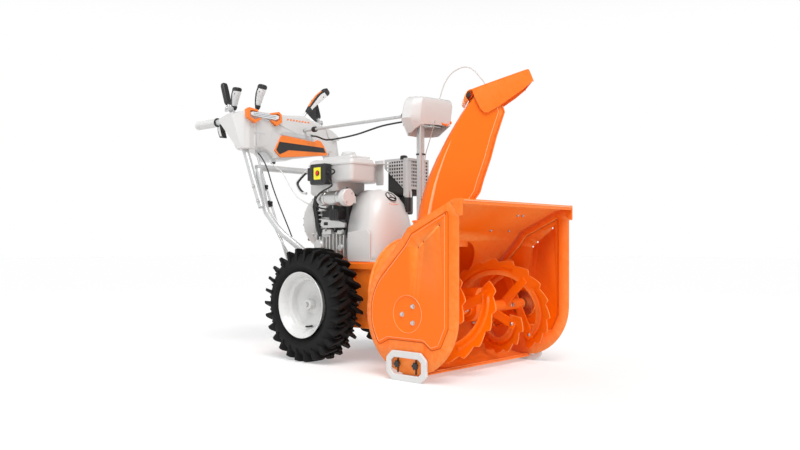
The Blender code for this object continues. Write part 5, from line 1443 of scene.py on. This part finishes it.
def levers():
    """Speed, deflector and chute levers with their stems and gaiters, and the two clutch levers."""
    lever("speed_stick", "speed_control", (SPEED_X, 1.267, 0.972), (SPEED_X, 1.252, 1.056), 0.011, 0.018,
          (0, 1, 0))
    tube("speed_stem", [(SPEED_X, 1.272, 0.905), (SPEED_X, 1.269, 0.945), (SPEED_X, 1.267, 0.976)], 0.0045,
         STEEL, "speed_control", replaces=["speed_lever"], sides=16)
    lever("tilt_stick", "deflector_control", (TILT_X, 1.196, 0.975), (TILT_X, 1.166, 1.066), 0.011, 0.018,
          (0, 1, 0))
    tube("tilt_stem", [(TILT_X, 1.212, 0.905), (TILT_X, 1.204, 0.94), (TILT_X, 1.195, 0.978)], 0.0045,
         STEEL, "deflector_control", replaces=["deflector_lever"], sides=16)
    lean = math.radians(45)
    reach = [Vector((ROD_X + r * math.sin(lean), 1.2, ROD_Z + r * math.cos(lean)))
             for r in (0.012, 0.08, 0.15, 0.305)]
    across, back = lever("chute_stick", "chute_control", reach[2], reach[3], 0.0115, 0.016, (-1, 0, 1))
    tube("chute_stem", reach[:3], 0.0048, STEEL, "chute_control", replaces=["chute_lever"], sides=16,
         smooth=False)
    turned("chute_lever_hub", [(0.0066, 1.19), (0.0125, 1.19), (0.013, 1.192), (0.013, 1.208),
                               (0.0125, 1.21), (0.0066, 1.21)], "Y", (ROD_X, ROD_Z), BLACK, "chute_control",
           steps=32, closed=True)
    stripe = []
    for share, wide, lift in ((0.12, 0.0058, 0.0122), (0.3, 0.006, 0.0161), (0.55, 0.0062, 0.019),
                              (0.7, 0.0062, 0.0168), (0.8, 0.0058, 0.014)):
        centre = reach[2].lerp(reach[3], share) + back * lift
        stripe.append([centre + across * a + back * b for a, b in rectangle(0, -0.0017, wide, 0.0023)])
    lofted("chute_stick_stripe", stripe, TRIM, "chute_control")
    clip = [(0.216, 0.96), (0.19, 0.976), (0.168, 0.993), (0.188, 1.006), (0.206, 1.01), (0.218, 0.99),
            (0.226, 0.957)]
    prism("chute_lever_stop", rounded(clip, 0.004, 3), "Y", 1.218, 1.226, BLACK, bevel=0.001)
    gaiters = bmesh.new()
    z = 0.9432
    for x, y, half_y in ((SPEED_X, 1.271, 0.032), (TILT_X, 1.19, 0.044)):
        outline = rounded(rectangle(x, y, 0.016, half_y), 0.008, 4)
        hole = inset(outline, 0.0065)
        loops = [[gaiters.verts.new((px, py, h)) for px, py in ring]
                 for ring, h in ((outline, z), (outline, z + 0.0035), (hole, z + 0.0045), (hole, z))]
        for k in range(4):
            band(gaiters, loops[k], loops[(k + 1) % 4])
    piece("lever_gaiters", gaiters, BLACK, sharp=30, bevel=0.0008)
    for word, side in SIDES:
        clutch_lever(word, side)


def clutch_lever(word, side):
    """A squeeze paddle on its hinge stub over the grip."""
    body = f"clutch_{word}"
    x = side * GRIP_X
    base = Vector((x, 1.222, 0.958))
    up = Vector((0, 0.037, 0.105)).normalized()
    depth = Vector((0, up.z, -up.y))
    rings = []
    for reach, half, wide in ((0.018, 0.0066, 0.011), (0.024, 0.0085, 0.0125), (0.03, 0.0095, 0.013),
                              (0.07, 0.01, 0.013), (0.1, 0.01, 0.0128), (0.109, 0.0085, 0.011),
                              (0.1125, 0.0045, 0.006)):
        outline = rounded(rectangle(0, 0, wide, half), 0.0055, 4)
        rings.append([base + up * reach + Vector((a, 0, 0)) + depth * b for a, b in outline])
    lofted(f"clutch_paddle_{word}", rings, BLACK, body, replaces=[f"clutch_lever_{word}"], sharp=50)
    bm = bmesh.new()
    add_sweep(bm, [base + up * r for r in (0.004, 0.012, 0.022)], circle(0.0058, 16))
    add_turned(bm, [(0.0042, x - 0.0092), (0.0096, x - 0.0092), (0.0102, x - 0.008), (0.0102, x + 0.008),
                    (0.0096, x + 0.0092), (0.0042, x + 0.0092)], "X", (base.y, base.z), 32, closed=True)
    piece(f"clutch_stub_{word}", bm, GREY, body, sharp=40)
    ears = bmesh.new()
    ear = rounded([(1.208, 0.9445), (1.236, 0.9445), (1.233, 0.962), (1.222, 0.969), (1.211, 0.962)], 0.004,
                  4)
    for low in (x - 0.0125, x + 0.01):
        add_prism(ears, ear, "X", low, low + 0.0025)
    piece(f"clutch_bracket_{word}", ears, GREY, bevel=0.0006)
    bolts(f"clutch_pin_{word}", [(x + side * 0.0125, 1.222, 0.958)], (side, 0, 0), radius=0.0048,
          height=0.003, sides=16)


handlebar()
console()
levers()

# Chute, deflector, chute drive and cables


def on_chute(u, v, z):
    """A point from its distance ahead of the chute's axis, its distance to the side, and its height."""
    turn = math.radians(CHUTE_HEADING)
    x = u * math.sin(turn) + v * math.cos(turn)
    return Vector((x, CHUTE_Y - u * math.cos(turn) + v * math.sin(turn), z))


# Each row: back (ahead, height), fold ahead of the back, front (ahead, height), half width
CHUTE_ROWS = [
    ((-0.0862, 0.499), 0.036, (0.0862, 0.499), 0.082),
    ((-0.0759, 0.554), 0.035, (0.096, 0.555), 0.081),
    ((-0.0586, 0.616), 0.031, (0.1227, 0.593), 0.08),
    ((-0.045, 0.655), 0.029, (0.1345, 0.635), 0.08),
    ((-0.019, 0.715), 0.024, (0.158, 0.705), 0.079),
    ((0.016, 0.783), 0.018, (0.178, 0.78), 0.078),
    ((0.062, 0.862), 0.013, (0.205, 0.862), 0.077),
    ((0.1035, 0.926), 0.012, (0.1985, 0.882), 0.077),
]


def chute_levels(per_span=4):
    """The rows and even steps between them: back, its height, fold, front, its height and half width."""
    flat = [(b[0], b[1], fold, f[0], f[1], half) for b, fold, f, half in CHUTE_ROWS]
    made = []
    for low, high in zip(flat, flat[1:]):
        made += [[a + (b - a) * k / per_span for a, b in zip(low, high)] for k in range(per_span)]
    return made + [list(flat[-1])]


def flange_shares(run):
    """(share of the run, how far in) across a side sheet: the front flange, then flat to the back fold."""
    return ((1.0, 0.003), (1 - 0.019 / run, 0.0002), (1 - 0.021 / run, 0.0), (0.5, 0.0), (0.1, 0.0))


def chute():
    """The bent sheet, open in front above its apron, with turned-in flanges and rounded back folds."""
    levels = chute_levels()
    bm = bmesh.new()
    rows = []
    for back, back_z, fold, front, front_z, half in levels:
        row = []
        for side in (1, -1):
            part = []
            for share, lean in flange_shares(front - back - fold):
                u = back + fold + (front - back - fold) * share
                z = back_z + (front_z - back_z) * share
                part.append(on_chute(u, side * (half - lean), z))
            bend = []
            for k in range(1, 8):
                a = math.pi / 2 * k / 8
                bend.append(on_chute(back + fold * (1 - math.sin(a)), side * half * math.cos(a) ** 0.8,
                                     back_z))
            part += [on_chute(back + fold, side * half, back_z)] + bend
            row.append(part)
        middle = [on_chute(back, 0, back_z)]
        rows.append([bm.verts.new(p) for p in row[0] + middle + row[1][::-1]])
    skin(bm, rows, closed=False)
    thicken(piece("chute_sheet", bm, ORANGE, "chute_body", replaces=["chute"], sharp=35), SHEET)
    apron = bmesh.new()
    front_rows = [[on_chute(front - 0.002, v * half * 0.995, front_z) for v in (-1, -0.5, 0, 0.5, 1)]
                  for back, back_z, fold, front, front_z, half in levels[:6]]
    skin(apron, [[apron.verts.new(p) for p in row] for row in front_rows], closed=False)
    thicken(piece("chute_apron", apron, ORANGE, "chute_body", sharp=35), SHEET)
    chute_edges(levels)
    chute_base()


def chute_edges(levels):
    """Lines painted as highlights along the flanges, beads painted as highlights tapering down the back
    folds, and hems on the front edges.
    """
    for word, side in (("near", -1), ("far", 1)):
        line = []
        for back, back_z, fold, front, front_z, half in levels[2:]:
            share = 1 - 0.02 / (front - back - fold)
            line.append(on_chute(back + fold + (front - back - fold) * share, side * (half - 0.0004),
                                 back_z + (front_z - back_z) * share))
        # A line painted as a highlight just inside the front flange
        tube(f"chute_fold_highlight_{word}", line, 0.0014, PAINTED_HIGHLIGHT, "chute_body", per_span=1, sides=10)
        # A bead down the back fold, painted as a highlight
        crest = [on_chute(back + fold, side * (half - 0.0022), back_z)
                 for back, back_z, fold, *_, half in levels[1:-5]]
        section = []
        for k, point in enumerate(crest):
            size = 0.0052 * (1 - k / (len(crest) - 1)) + 0.0012
            section.append([point + on_chute(a, side * b, 0) - on_chute(0, 0, 0)
                            for a, b in circle(size, 16)])
        lofted(f"chute_back_bead_{word}", section, PAINTED_HIGHLIGHT, "chute_body", sharp=60)
        edge = [on_chute(front, side * (half - 0.0013), front_z)
                for back, back_z, fold, front, front_z, half in levels[2:]]
        tube(f"chute_hem_{word}", edge, 0.0024, ORANGE, "chute_body", per_span=1, sides=12)


def chute_base():
    """The toothed ring that the pinion turns, the keeper knob and the bolts."""
    turned("chute_ring_gear", [(0.08, 0.4929), (0.1, 0.4929), (0.1015, 0.494), (0.1015, 0.499),
                               (0.1, 0.5003), (0.08, 0.5003)], "Z", (0, CHUTE_Y), ORANGE, "chute_body",
           steps=72, closed=True)
    teeth = bmesh.new()
    for k in range(RING_TEETH):
        turn = Matrix.Rotation(math.radians(360 / RING_TEETH * k), 4, "Z")
        made = bmesh.ops.create_cube(teeth, size=1.0)["verts"]
        bmesh.ops.scale(teeth, vec=(0.004, 0.0048, 0.005), verts=made)
        bmesh.ops.translate(teeth, vec=(0.1018, 0, 0.4965), verts=made)
        bmesh.ops.rotate(teeth, cent=(0, 0, 0), matrix=turn, verts=made)
        bmesh.ops.translate(teeth, vec=(0, CHUTE_Y, 0), verts=made)
    piece("chute_ring_teeth", teeth, ORANGE, "chute_body")
    knob = on_chute(0.02, -0.0805, 0.53)
    bm = bmesh.new()
    out = on_chute(0, -1, 0) - on_chute(0, 0, 0)
    add_bolt(bm, knob, out, 0.0125, 0.0085, 1.15, 24)
    piece("chute_keeper", bm, BLACK, "chute_body", sharp=30)
    heads = bmesh.new()
    for v in (-1, 1):
        out = on_chute(0, v, 0) - on_chute(0, 0, 0)
        for u, z in ((0.066, 0.52), (-0.03, 0.52)):
            add_bolt(heads, on_chute(u, v * 0.0815, z), out, 0.0048, 0.004, 1.3, 16)
    piece("chute_bolts", heads, STEEL, "chute_body", sharp=30)


DEFLECTOR_SHEET = 0.0022
RING_TEETH, PINION_TEETH = 60, 10


def deflector():
    """The tilting cap: a top sheet with a turned-down lip, two cheeks, a rolled hinge edge and a spring
    across it.
    """
    cheek = rounded([(0.0957, 0.9365), (0.285, 1.0045), (0.3015, 0.966), (0.2657, 0.936), (0.19, 0.883),
                     (0.15, 0.859), (0.136, 0.859), (0.1223, 0.874), (0.103, 0.914)], 0.008, 5)
    top = [(0.0945, 0.9378), (0.13, 0.951), (0.2, 0.9762), (0.27, 1.001), (0.28, 1.0042), (0.2858, 1.004),
           (0.289, 0.9985), (0.2955, 0.983), (0.3018, 0.9668)]
    bm = bmesh.new()
    for side in (-1, 1):
        rings = [[on_chute(u, side * v, z) for u, z in inset(cheek, shrink)]
                 for v, shrink in ((0.0824, 0.0006), (0.0828, 0), (0.0846, 0), (0.085, 0.0006))]
        tube_mesh(bm, rings)
    piece("deflector_cheeks", bm, ORANGE, "deflector_body", replaces=["deflector"], sharp=30)
    bm = bmesh.new()
    across = (-0.0852, -0.0846, -0.082, -0.04, 0, 0.04, 0.082, 0.0846, 0.0852)
    rows = [[bm.verts.new(on_chute(u, v, z)) for v in across] for u, z in top]
    for row in rows:
        for k, drop in ((0, 0.005), (1, 0.0016), (7, 0.0016), (8, 0.005)):
            row[k].co.z -= drop
    skin(bm, rows, closed=False)
    sheet = piece("deflector_top", bm, ORANGE, "deflector_body", sharp=50)
    thicken(sheet, DEFLECTOR_SHEET)
    round_off = sheet.modifiers.new("edges", "BEVEL")
    round_off.width, round_off.segments, round_off.limit_method = 0.0006, 2, "ANGLE"
    # The rolled hinge edge behind the chute, open at its ends
    bm = bmesh.new()
    curl = [(0.0945, 0.9375), (0.088, 0.9372), (0.08, 0.932), (0.0745, 0.923), (0.074, 0.912),
            (0.0775, 0.9035), (0.083, 0.9)]
    rows = [[bm.verts.new(on_chute(u, v, z)) for v in (-0.0815, 0.0815)] for u, z in curl]
    skin(bm, rows, closed=False)
    thicken(piece("deflector_curl", bm, ORANGE, "deflector_body", sharp=60), DEFLECTOR_SHEET)
    spring = [on_chute(0.0855, v, 0.919) for v in (-0.08, 0.08)]
    tube("deflector_spring", spring, 0.007, BLACK, "deflector_body", smooth=False, sides=20)


# Plan corners of the gear cover at its widest level, each with how far it moves as the end walls lean in
COVER_PLAN = [((-0.03, 0.487), 1.0), ((-0.022, 0.455), 1.0), ((0.008, 0.43), 0.6), ((0.17, 0.412), -0.8),
              ((0.18, 0.428), -1.0), ((0.18, 0.5), -0.8), ((0.142, 0.54), 0.0), ((0.03, 0.54), 1.0),
              ((0.0, 0.514), 1.0), ]
COVER_LEAN = ((0.795, 0.04, 0.026), (0.818, 0.034, 0.02), (0.868, 0.0, 0.012), (0.925, 0.014, 0.0),
              (0.95, 0.028, 0.0))


def cover_ring(z, thickness):
    """The gear cover's outline at one height, moved in by a thickness."""
    for low, high in zip(COVER_LEAN, COVER_LEAN[1:]):
        if low[0] <= z <= high[0]:
            share = (z - low[0]) / (high[0] - low[0])
            right, left = (a + (b - a) * share for a, b in zip(low[1:], high[1:]))
    plan = [(x + weight * (right if weight > 0 else left), y) for (x, y), weight in COVER_PLAN]
    plan = rounded(plan, 0.008, 4)
    return [(x, y, z) for x, y in (inset(plan, thickness) if thickness else plan)]


def chute_post():
    """The square post on its foot, with its cable clamp."""
    outline = rounded(rectangle(POST_X, POST_Y, 0.011, 0.011), 0.004, 4)
    prism("post_tube", outline, "Z", 0.436, 0.868, GREY, replaces=["chute_post"], sharp=40)
    foot = rounded([(POST_X - 0.024, POST_Y - 0.024), (POST_X + 0.045, POST_Y - 0.024),
                    (POST_X + 0.045, POST_Y + 0.03), (POST_X - 0.024, POST_Y + 0.03)], 0.006, 3)
    prism("post_foot", foot, "Z", 0.4265, 0.432, GREY, bevel=0.001)
    bolts("post_foot_bolts", [(POST_X - 0.016, POST_Y + 0.002, 0.432),
                              (POST_X + 0.032, POST_Y + 0.002, 0.432)], (0, 0, 1), radius=0.006,
          height=0.005)
    clamp = rounded([(POST_X - 0.0128, POST_Y - 0.0135), (POST_X + 0.0128, POST_Y - 0.0135),
                     (POST_X + 0.0128, POST_Y + 0.0128), (POST_X - 0.0128, POST_Y + 0.0128)], 0.004, 3)
    prism("post_clamp", clamp, "Z", 0.7405, 0.7465, BLACK, bevel=0.001)


def pinion():
    """The upright shaft from the gear cover to the ring, with its ten teeth."""
    shaft = [(0, 0.478), (0.005, 0.478), (0.005, 0.4935), (0.015, 0.494), (0.015, 0.504), (0.005, 0.5045),
             (0.005, 0.848), (0.009, 0.848), (0.009, 0.856), (0, 0.856)]
    bm = bmesh.new()
    add_turned(bm, shaft, "Z", (PINION_X, PINION_Y), 32)
    for k in range(PINION_TEETH):
        a = math.radians(360 / PINION_TEETH * k)
        tooth = [(PINION_X + r * math.cos(a + w / r), PINION_Y + r * math.sin(a + w / r))
                 for r, w in ((0.0145, -0.0022), (0.0176, -0.0012), (0.0176, 0.0012), (0.0145, 0.0022))]
        add_prism(bm, tooth, "Z", 0.494, 0.504)
    piece("pinion_shaft_cut", bm, STEEL, "pinion", replaces=["pinion_shaft"], sharp=35)


def gear_cover():
    """The hollow cover, open below, over a dark sheet of painted shade inside it and the worm's frame."""
    levels = ((0.818, 0.0), (0.835, 0.0), (0.855, 0.0), (0.868, 0.0), (0.885, 0.0), (0.905, 0.0),
              (0.925, 0.0006), (0.936, 0.002), (0.9425, 0.005), (0.9465, 0.0095), (0.948, 0.015))
    shell = lofted("gear_cover_shell", [cover_ring(z, shrink) for z, shrink in levels], WHITE,
                   replaces=["gear_cover"], sharp=40)
    hollow = [cover_ring(z, SHEET) for z in (0.8, 0.818, 0.868, 0.905, 0.93)]
    tools = [lofted("cover_hollow_cut", hollow, WHITE, body=None),
             prism("cover_slope_cut", [(0.3, 0.795), (0.478, 0.795), (0.478, 0.815), (0.425, 0.85),
                                       (0.3, 0.858)], "X", -0.2, 0.3, WHITE, body=None),
             drill("cover_rod_cut", 0.0085, 0.5, 0.6, "Y", (ROD_X, ROD_Z), steps=24)]
    cut_with(shell, *tools)
    # A dark sheet painted as the shade inside the cover
    shade_sheet = lofted("cover_shade_sheet", [cover_ring(z, 0.0034) for z in (0.87, 0.874)], PAINTED_SHADE_BLACK)
    cut_with(shade_sheet, drill("shade_sheet_cut", 0.0105, 0.3, 0.6, "Y", (ROD_X, ROD_Z), steps=24))
    rail = [(0.01, 0.47, 0.838), (0.035, 0.448, 0.85), (0.07, 0.432, 0.857), (0.11, 0.424, 0.86),
            (0.15, 0.424, 0.862)]
    tube("worm_frame_rail", rail, 0.0042, STEEL, sides=14)
    boxes("worm_frame", [((0.004, 0.452, 0.846), (0.1, 0.512, 0.851)),
                         ((0.086, 0.45, 0.848), (0.15, 0.5, 0.856))], STEEL, bevel=0.002)
    boxes("worm_housing", [((x - wide, y - 0.008, z - 0.008), (x + wide, y + 0.008, z + 0.004))
                           for x, y, z, wide in ((0.088, 0.44, 0.864, 0.012), (0.12, 0.46, 0.86, 0.009))],
          BLACK, bevel=0.002)
    link = [(0.112, 0.42, 0.858), (0.128, 0.412, 0.852), (0.15, 0.416, 0.858), (0.162, 0.42, 0.866)]
    tube("tilt_link", link, 0.0032, TRIM, sides=12)
    bolts("tilt_link_pins", [(0.128, 0.409, 0.852), (0.158, 0.413, 0.864)], (0, -1, 0), mat=TRIM,
          radius=0.0042, height=0.003, sides=16)


def control_rod():
    """The rod from the chute lever to the gear cover, with its boss."""
    tube("chute_rod_bar", [(ROD_X, 0.5155, ROD_Z), (ROD_X, 1.2315, ROD_Z)], 0.006, GREY, "chute_control",
         replaces=["chute_rod"], smooth=False, sides=24)
    turned("rod_boss", [(0.0066, 0.5415), (0.0125, 0.5415), (0.013, 0.544), (0.0125, 0.55), (0.0066, 0.55)],
           "Y", (ROD_X, ROD_Z), BLACK, "chute_control", steps=28, closed=True)


def cord(name, points, radius, mat, replaces=()):
    """A cable as one smooth curve of its real length."""
    route = smooth_path(points, 3)
    data = bpy.data.curves.new(name, "CURVE")
    data.dimensions = "3D"
    data.bevel_depth = radius
    data.bevel_resolution = 4
    data.use_fill_caps = True
    spline = data.splines.new("POLY")
    spline.points.add(len(route) - 1)
    for knot, point in zip(spline.points, route):
        knot.co = (*point, 1.0)
    made = bpy.data.objects.new(name, data)
    settle(made, mat, replaces=replaces)


ARC_CABLE_R = 0.0022


def cables():
    """The cables and the harness. The arc to the deflector stretches between the cover and the chute."""
    control = [(0.085, y, z) for y, z in ((1.0975, 0.871), (1.06, 0.864), (1.005, 0.846), (0.92, 0.846),
                                          (0.83, 0.852), (0.76, 0.862), (0.69, 0.872), (0.61, 0.876),
                                          (0.5415, 0.877))]
    cord("tilt_control_cable", control, 0.0035, BLACK, replaces=["control_cable"])
    right = [(-0.178, 1.118, 0.779), (-0.178, 1.092, 0.757), (-0.177, 1.062, 0.716), (-0.174, 1.03, 0.64),
             (-0.168, 0.992, 0.56), (-0.16, 0.952, 0.48), (-0.148, 0.925, 0.41), (-0.125, 0.91, 0.35)]
    cord("drive_clutch_cable", right, 0.0025, BLACK, replaces=["clutch_cable"])
    cord("auger_clutch_cable", [(-x, y, z) for x, y, z in right], 0.0025, BLACK)
    cord("throttle_cable", [(-0.126, 1.11, 0.752), (-0.13, 1.07, 0.724), (-0.136, 1.02, 0.7),
                            (-0.14, 0.975, 0.65), (-0.136, 0.93, 0.6), (-0.12, 0.88, 0.57),
                            (-0.1, 0.85, 0.556)], 0.002, PALE)
    route = [(0.115, 0.43, 0.947), (0.122, 0.415, 0.998), (0.131, 0.394, 1.033), (0.142, 0.366, 1.052),
             (0.151, 0.341, 1.057), (0.16, 0.316, 1.048), (0.169, 0.292, 1.021), (0.179, 0.273, 0.991),
             (0.186, 0.262, 0.95), (0.1875, 0.2595, 0.905)]
    path = smooth_path(route, 4)
    arc_cable = tube("tilt_arc_cable", path, ARC_CABLE_R, PALE, body=None, smooth=False, sides=12,
                     replaces=["deflector_cable"], sharp=60)
    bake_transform(arc_cable)
    cord("post_cable", [(0.066, 0.41, 0.862), (0.0665, 0.422, 0.83), (0.0672, 0.44, 0.785),
                        (0.0678, 0.456, 0.745), (0.0678, 0.462, 0.7), (0.0678, 0.464, 0.64),
                        (0.0678, 0.465, 0.56), (0.0678, 0.466, 0.45)], 0.0016, ROPE)
    cord("starter_harness", [(-0.168, 0.716, 0.65), (-0.168, 0.704, 0.64), (-0.174, 0.694, 0.63),
                             (-0.186, 0.694, 0.622), (-0.198, 0.702, 0.614), (-0.2085, 0.722, 0.6),
                             (-0.2125, 0.738, 0.58), (-0.208, 0.742, 0.562), (-0.196, 0.736, 0.55),
                             (-0.182, 0.722, 0.546), (-0.174, 0.712, 0.546)], 0.003, BLACK)


chute()
deflector()
chute_post()
pinion()
gear_cover()
control_rod()
cables()

# Floor, light and camera


FLOOR_GLOW = 0.35
SKY_FADE_FROM, SKY_FADE_TO = 0.25, 0.6
SKY_LOW, SKY_HIGH = 1.0, 0.22
LENS_MM, LENS_SHIFT = 35.44, 0.0221
CAMERA_PLACE, CAMERA_HEADING = (-2.1126, -1.39, 0.4236), -47.876


def stage():
    """A pale floor that glows a little, under a soft sky that is brightest near the horizon."""
    bpy.ops.mesh.primitive_plane_add(size=40)
    floor = bpy.context.object
    floor.name = "floor"
    pale = surface("pale_floor", (0.62, 0.62, 0.62), 0.75, mottle=0.01, grain=300, bump=0.02, specular=0.0)
    glow = pale.node_tree.nodes["Principled BSDF"]
    glow.inputs["Emission Color"].default_value = (1, 1, 1, 1)
    glow.inputs["Emission Strength"].default_value = FLOOR_GLOW
    floor.data.materials.append(pale)
    world = bpy.data.worlds.new("soft_sky")
    bpy.context.scene.world = world
    world.use_nodes = True
    nodes, links = world.node_tree.nodes, world.node_tree.links
    split = nodes.new("ShaderNodeSeparateXYZ")
    links.new(nodes.new("ShaderNodeTexCoord").outputs["Generated"], split.inputs[0])
    fade = nodes.new("ShaderNodeMapRange")
    fade.interpolation_type = "SMOOTHSTEP"
    for name, value in (("From Min", SKY_FADE_FROM), ("From Max", SKY_FADE_TO), ("To Min", SKY_LOW),
                        ("To Max", SKY_HIGH)):
        fade.inputs[name].default_value = value
    links.new(split.outputs["Z"], fade.inputs["Value"])
    links.new(fade.outputs["Result"], nodes["Background"].inputs["Color"])
    bpy.context.scene.view_settings.view_transform = "Standard"


def light(name, kind, place, target, power, spread):
    """A lamp aimed at a point. Its spread is a disc's diameter in metres, or a sun's angle in degrees."""
    data = bpy.data.lights.new(name, kind)
    data.energy = power
    if kind == "AREA":
        data.shape, data.size = "DISK", spread
    else:
        data.angle = math.radians(spread)
    lamp = bpy.data.objects.new(name, data)
    bpy.context.scene.collection.objects.link(lamp)
    lamp.location = ORIGIN + Vector(place)
    lamp.rotation_euler = (Vector(target) - Vector(place)).to_track_quat("-Z", "Y").to_euler()


def camera():
    """The photograph's camera, level and at its height, as solved from the housing's and tyre's edges."""
    data = bpy.data.cameras.new("camera")
    data.lens = LENS_MM
    data.shift_y = LENS_SHIFT
    made = bpy.data.objects.new("camera", data)
    bpy.context.scene.collection.objects.link(made)
    made.location = ORIGIN + Vector(CAMERA_PLACE)
    made.rotation_euler = (math.radians(90), 0, math.radians(CAMERA_HEADING))
    bpy.context.scene.camera = made


stage()
light("key", "SUN", (-1.1, -1.3, 3.2), (0, 0.2, 0.3), 2.5, 36)
light("top", "AREA", (-1.6, 1.2, 2.8), (0, 0.6, 0.3), 10, 1.8)
light("back_rim", "AREA", (2.4, 2.4, 1.8), (0, 0.7, 0.5), 12, 1.2)
camera()

bpy.context.view_layer.update()
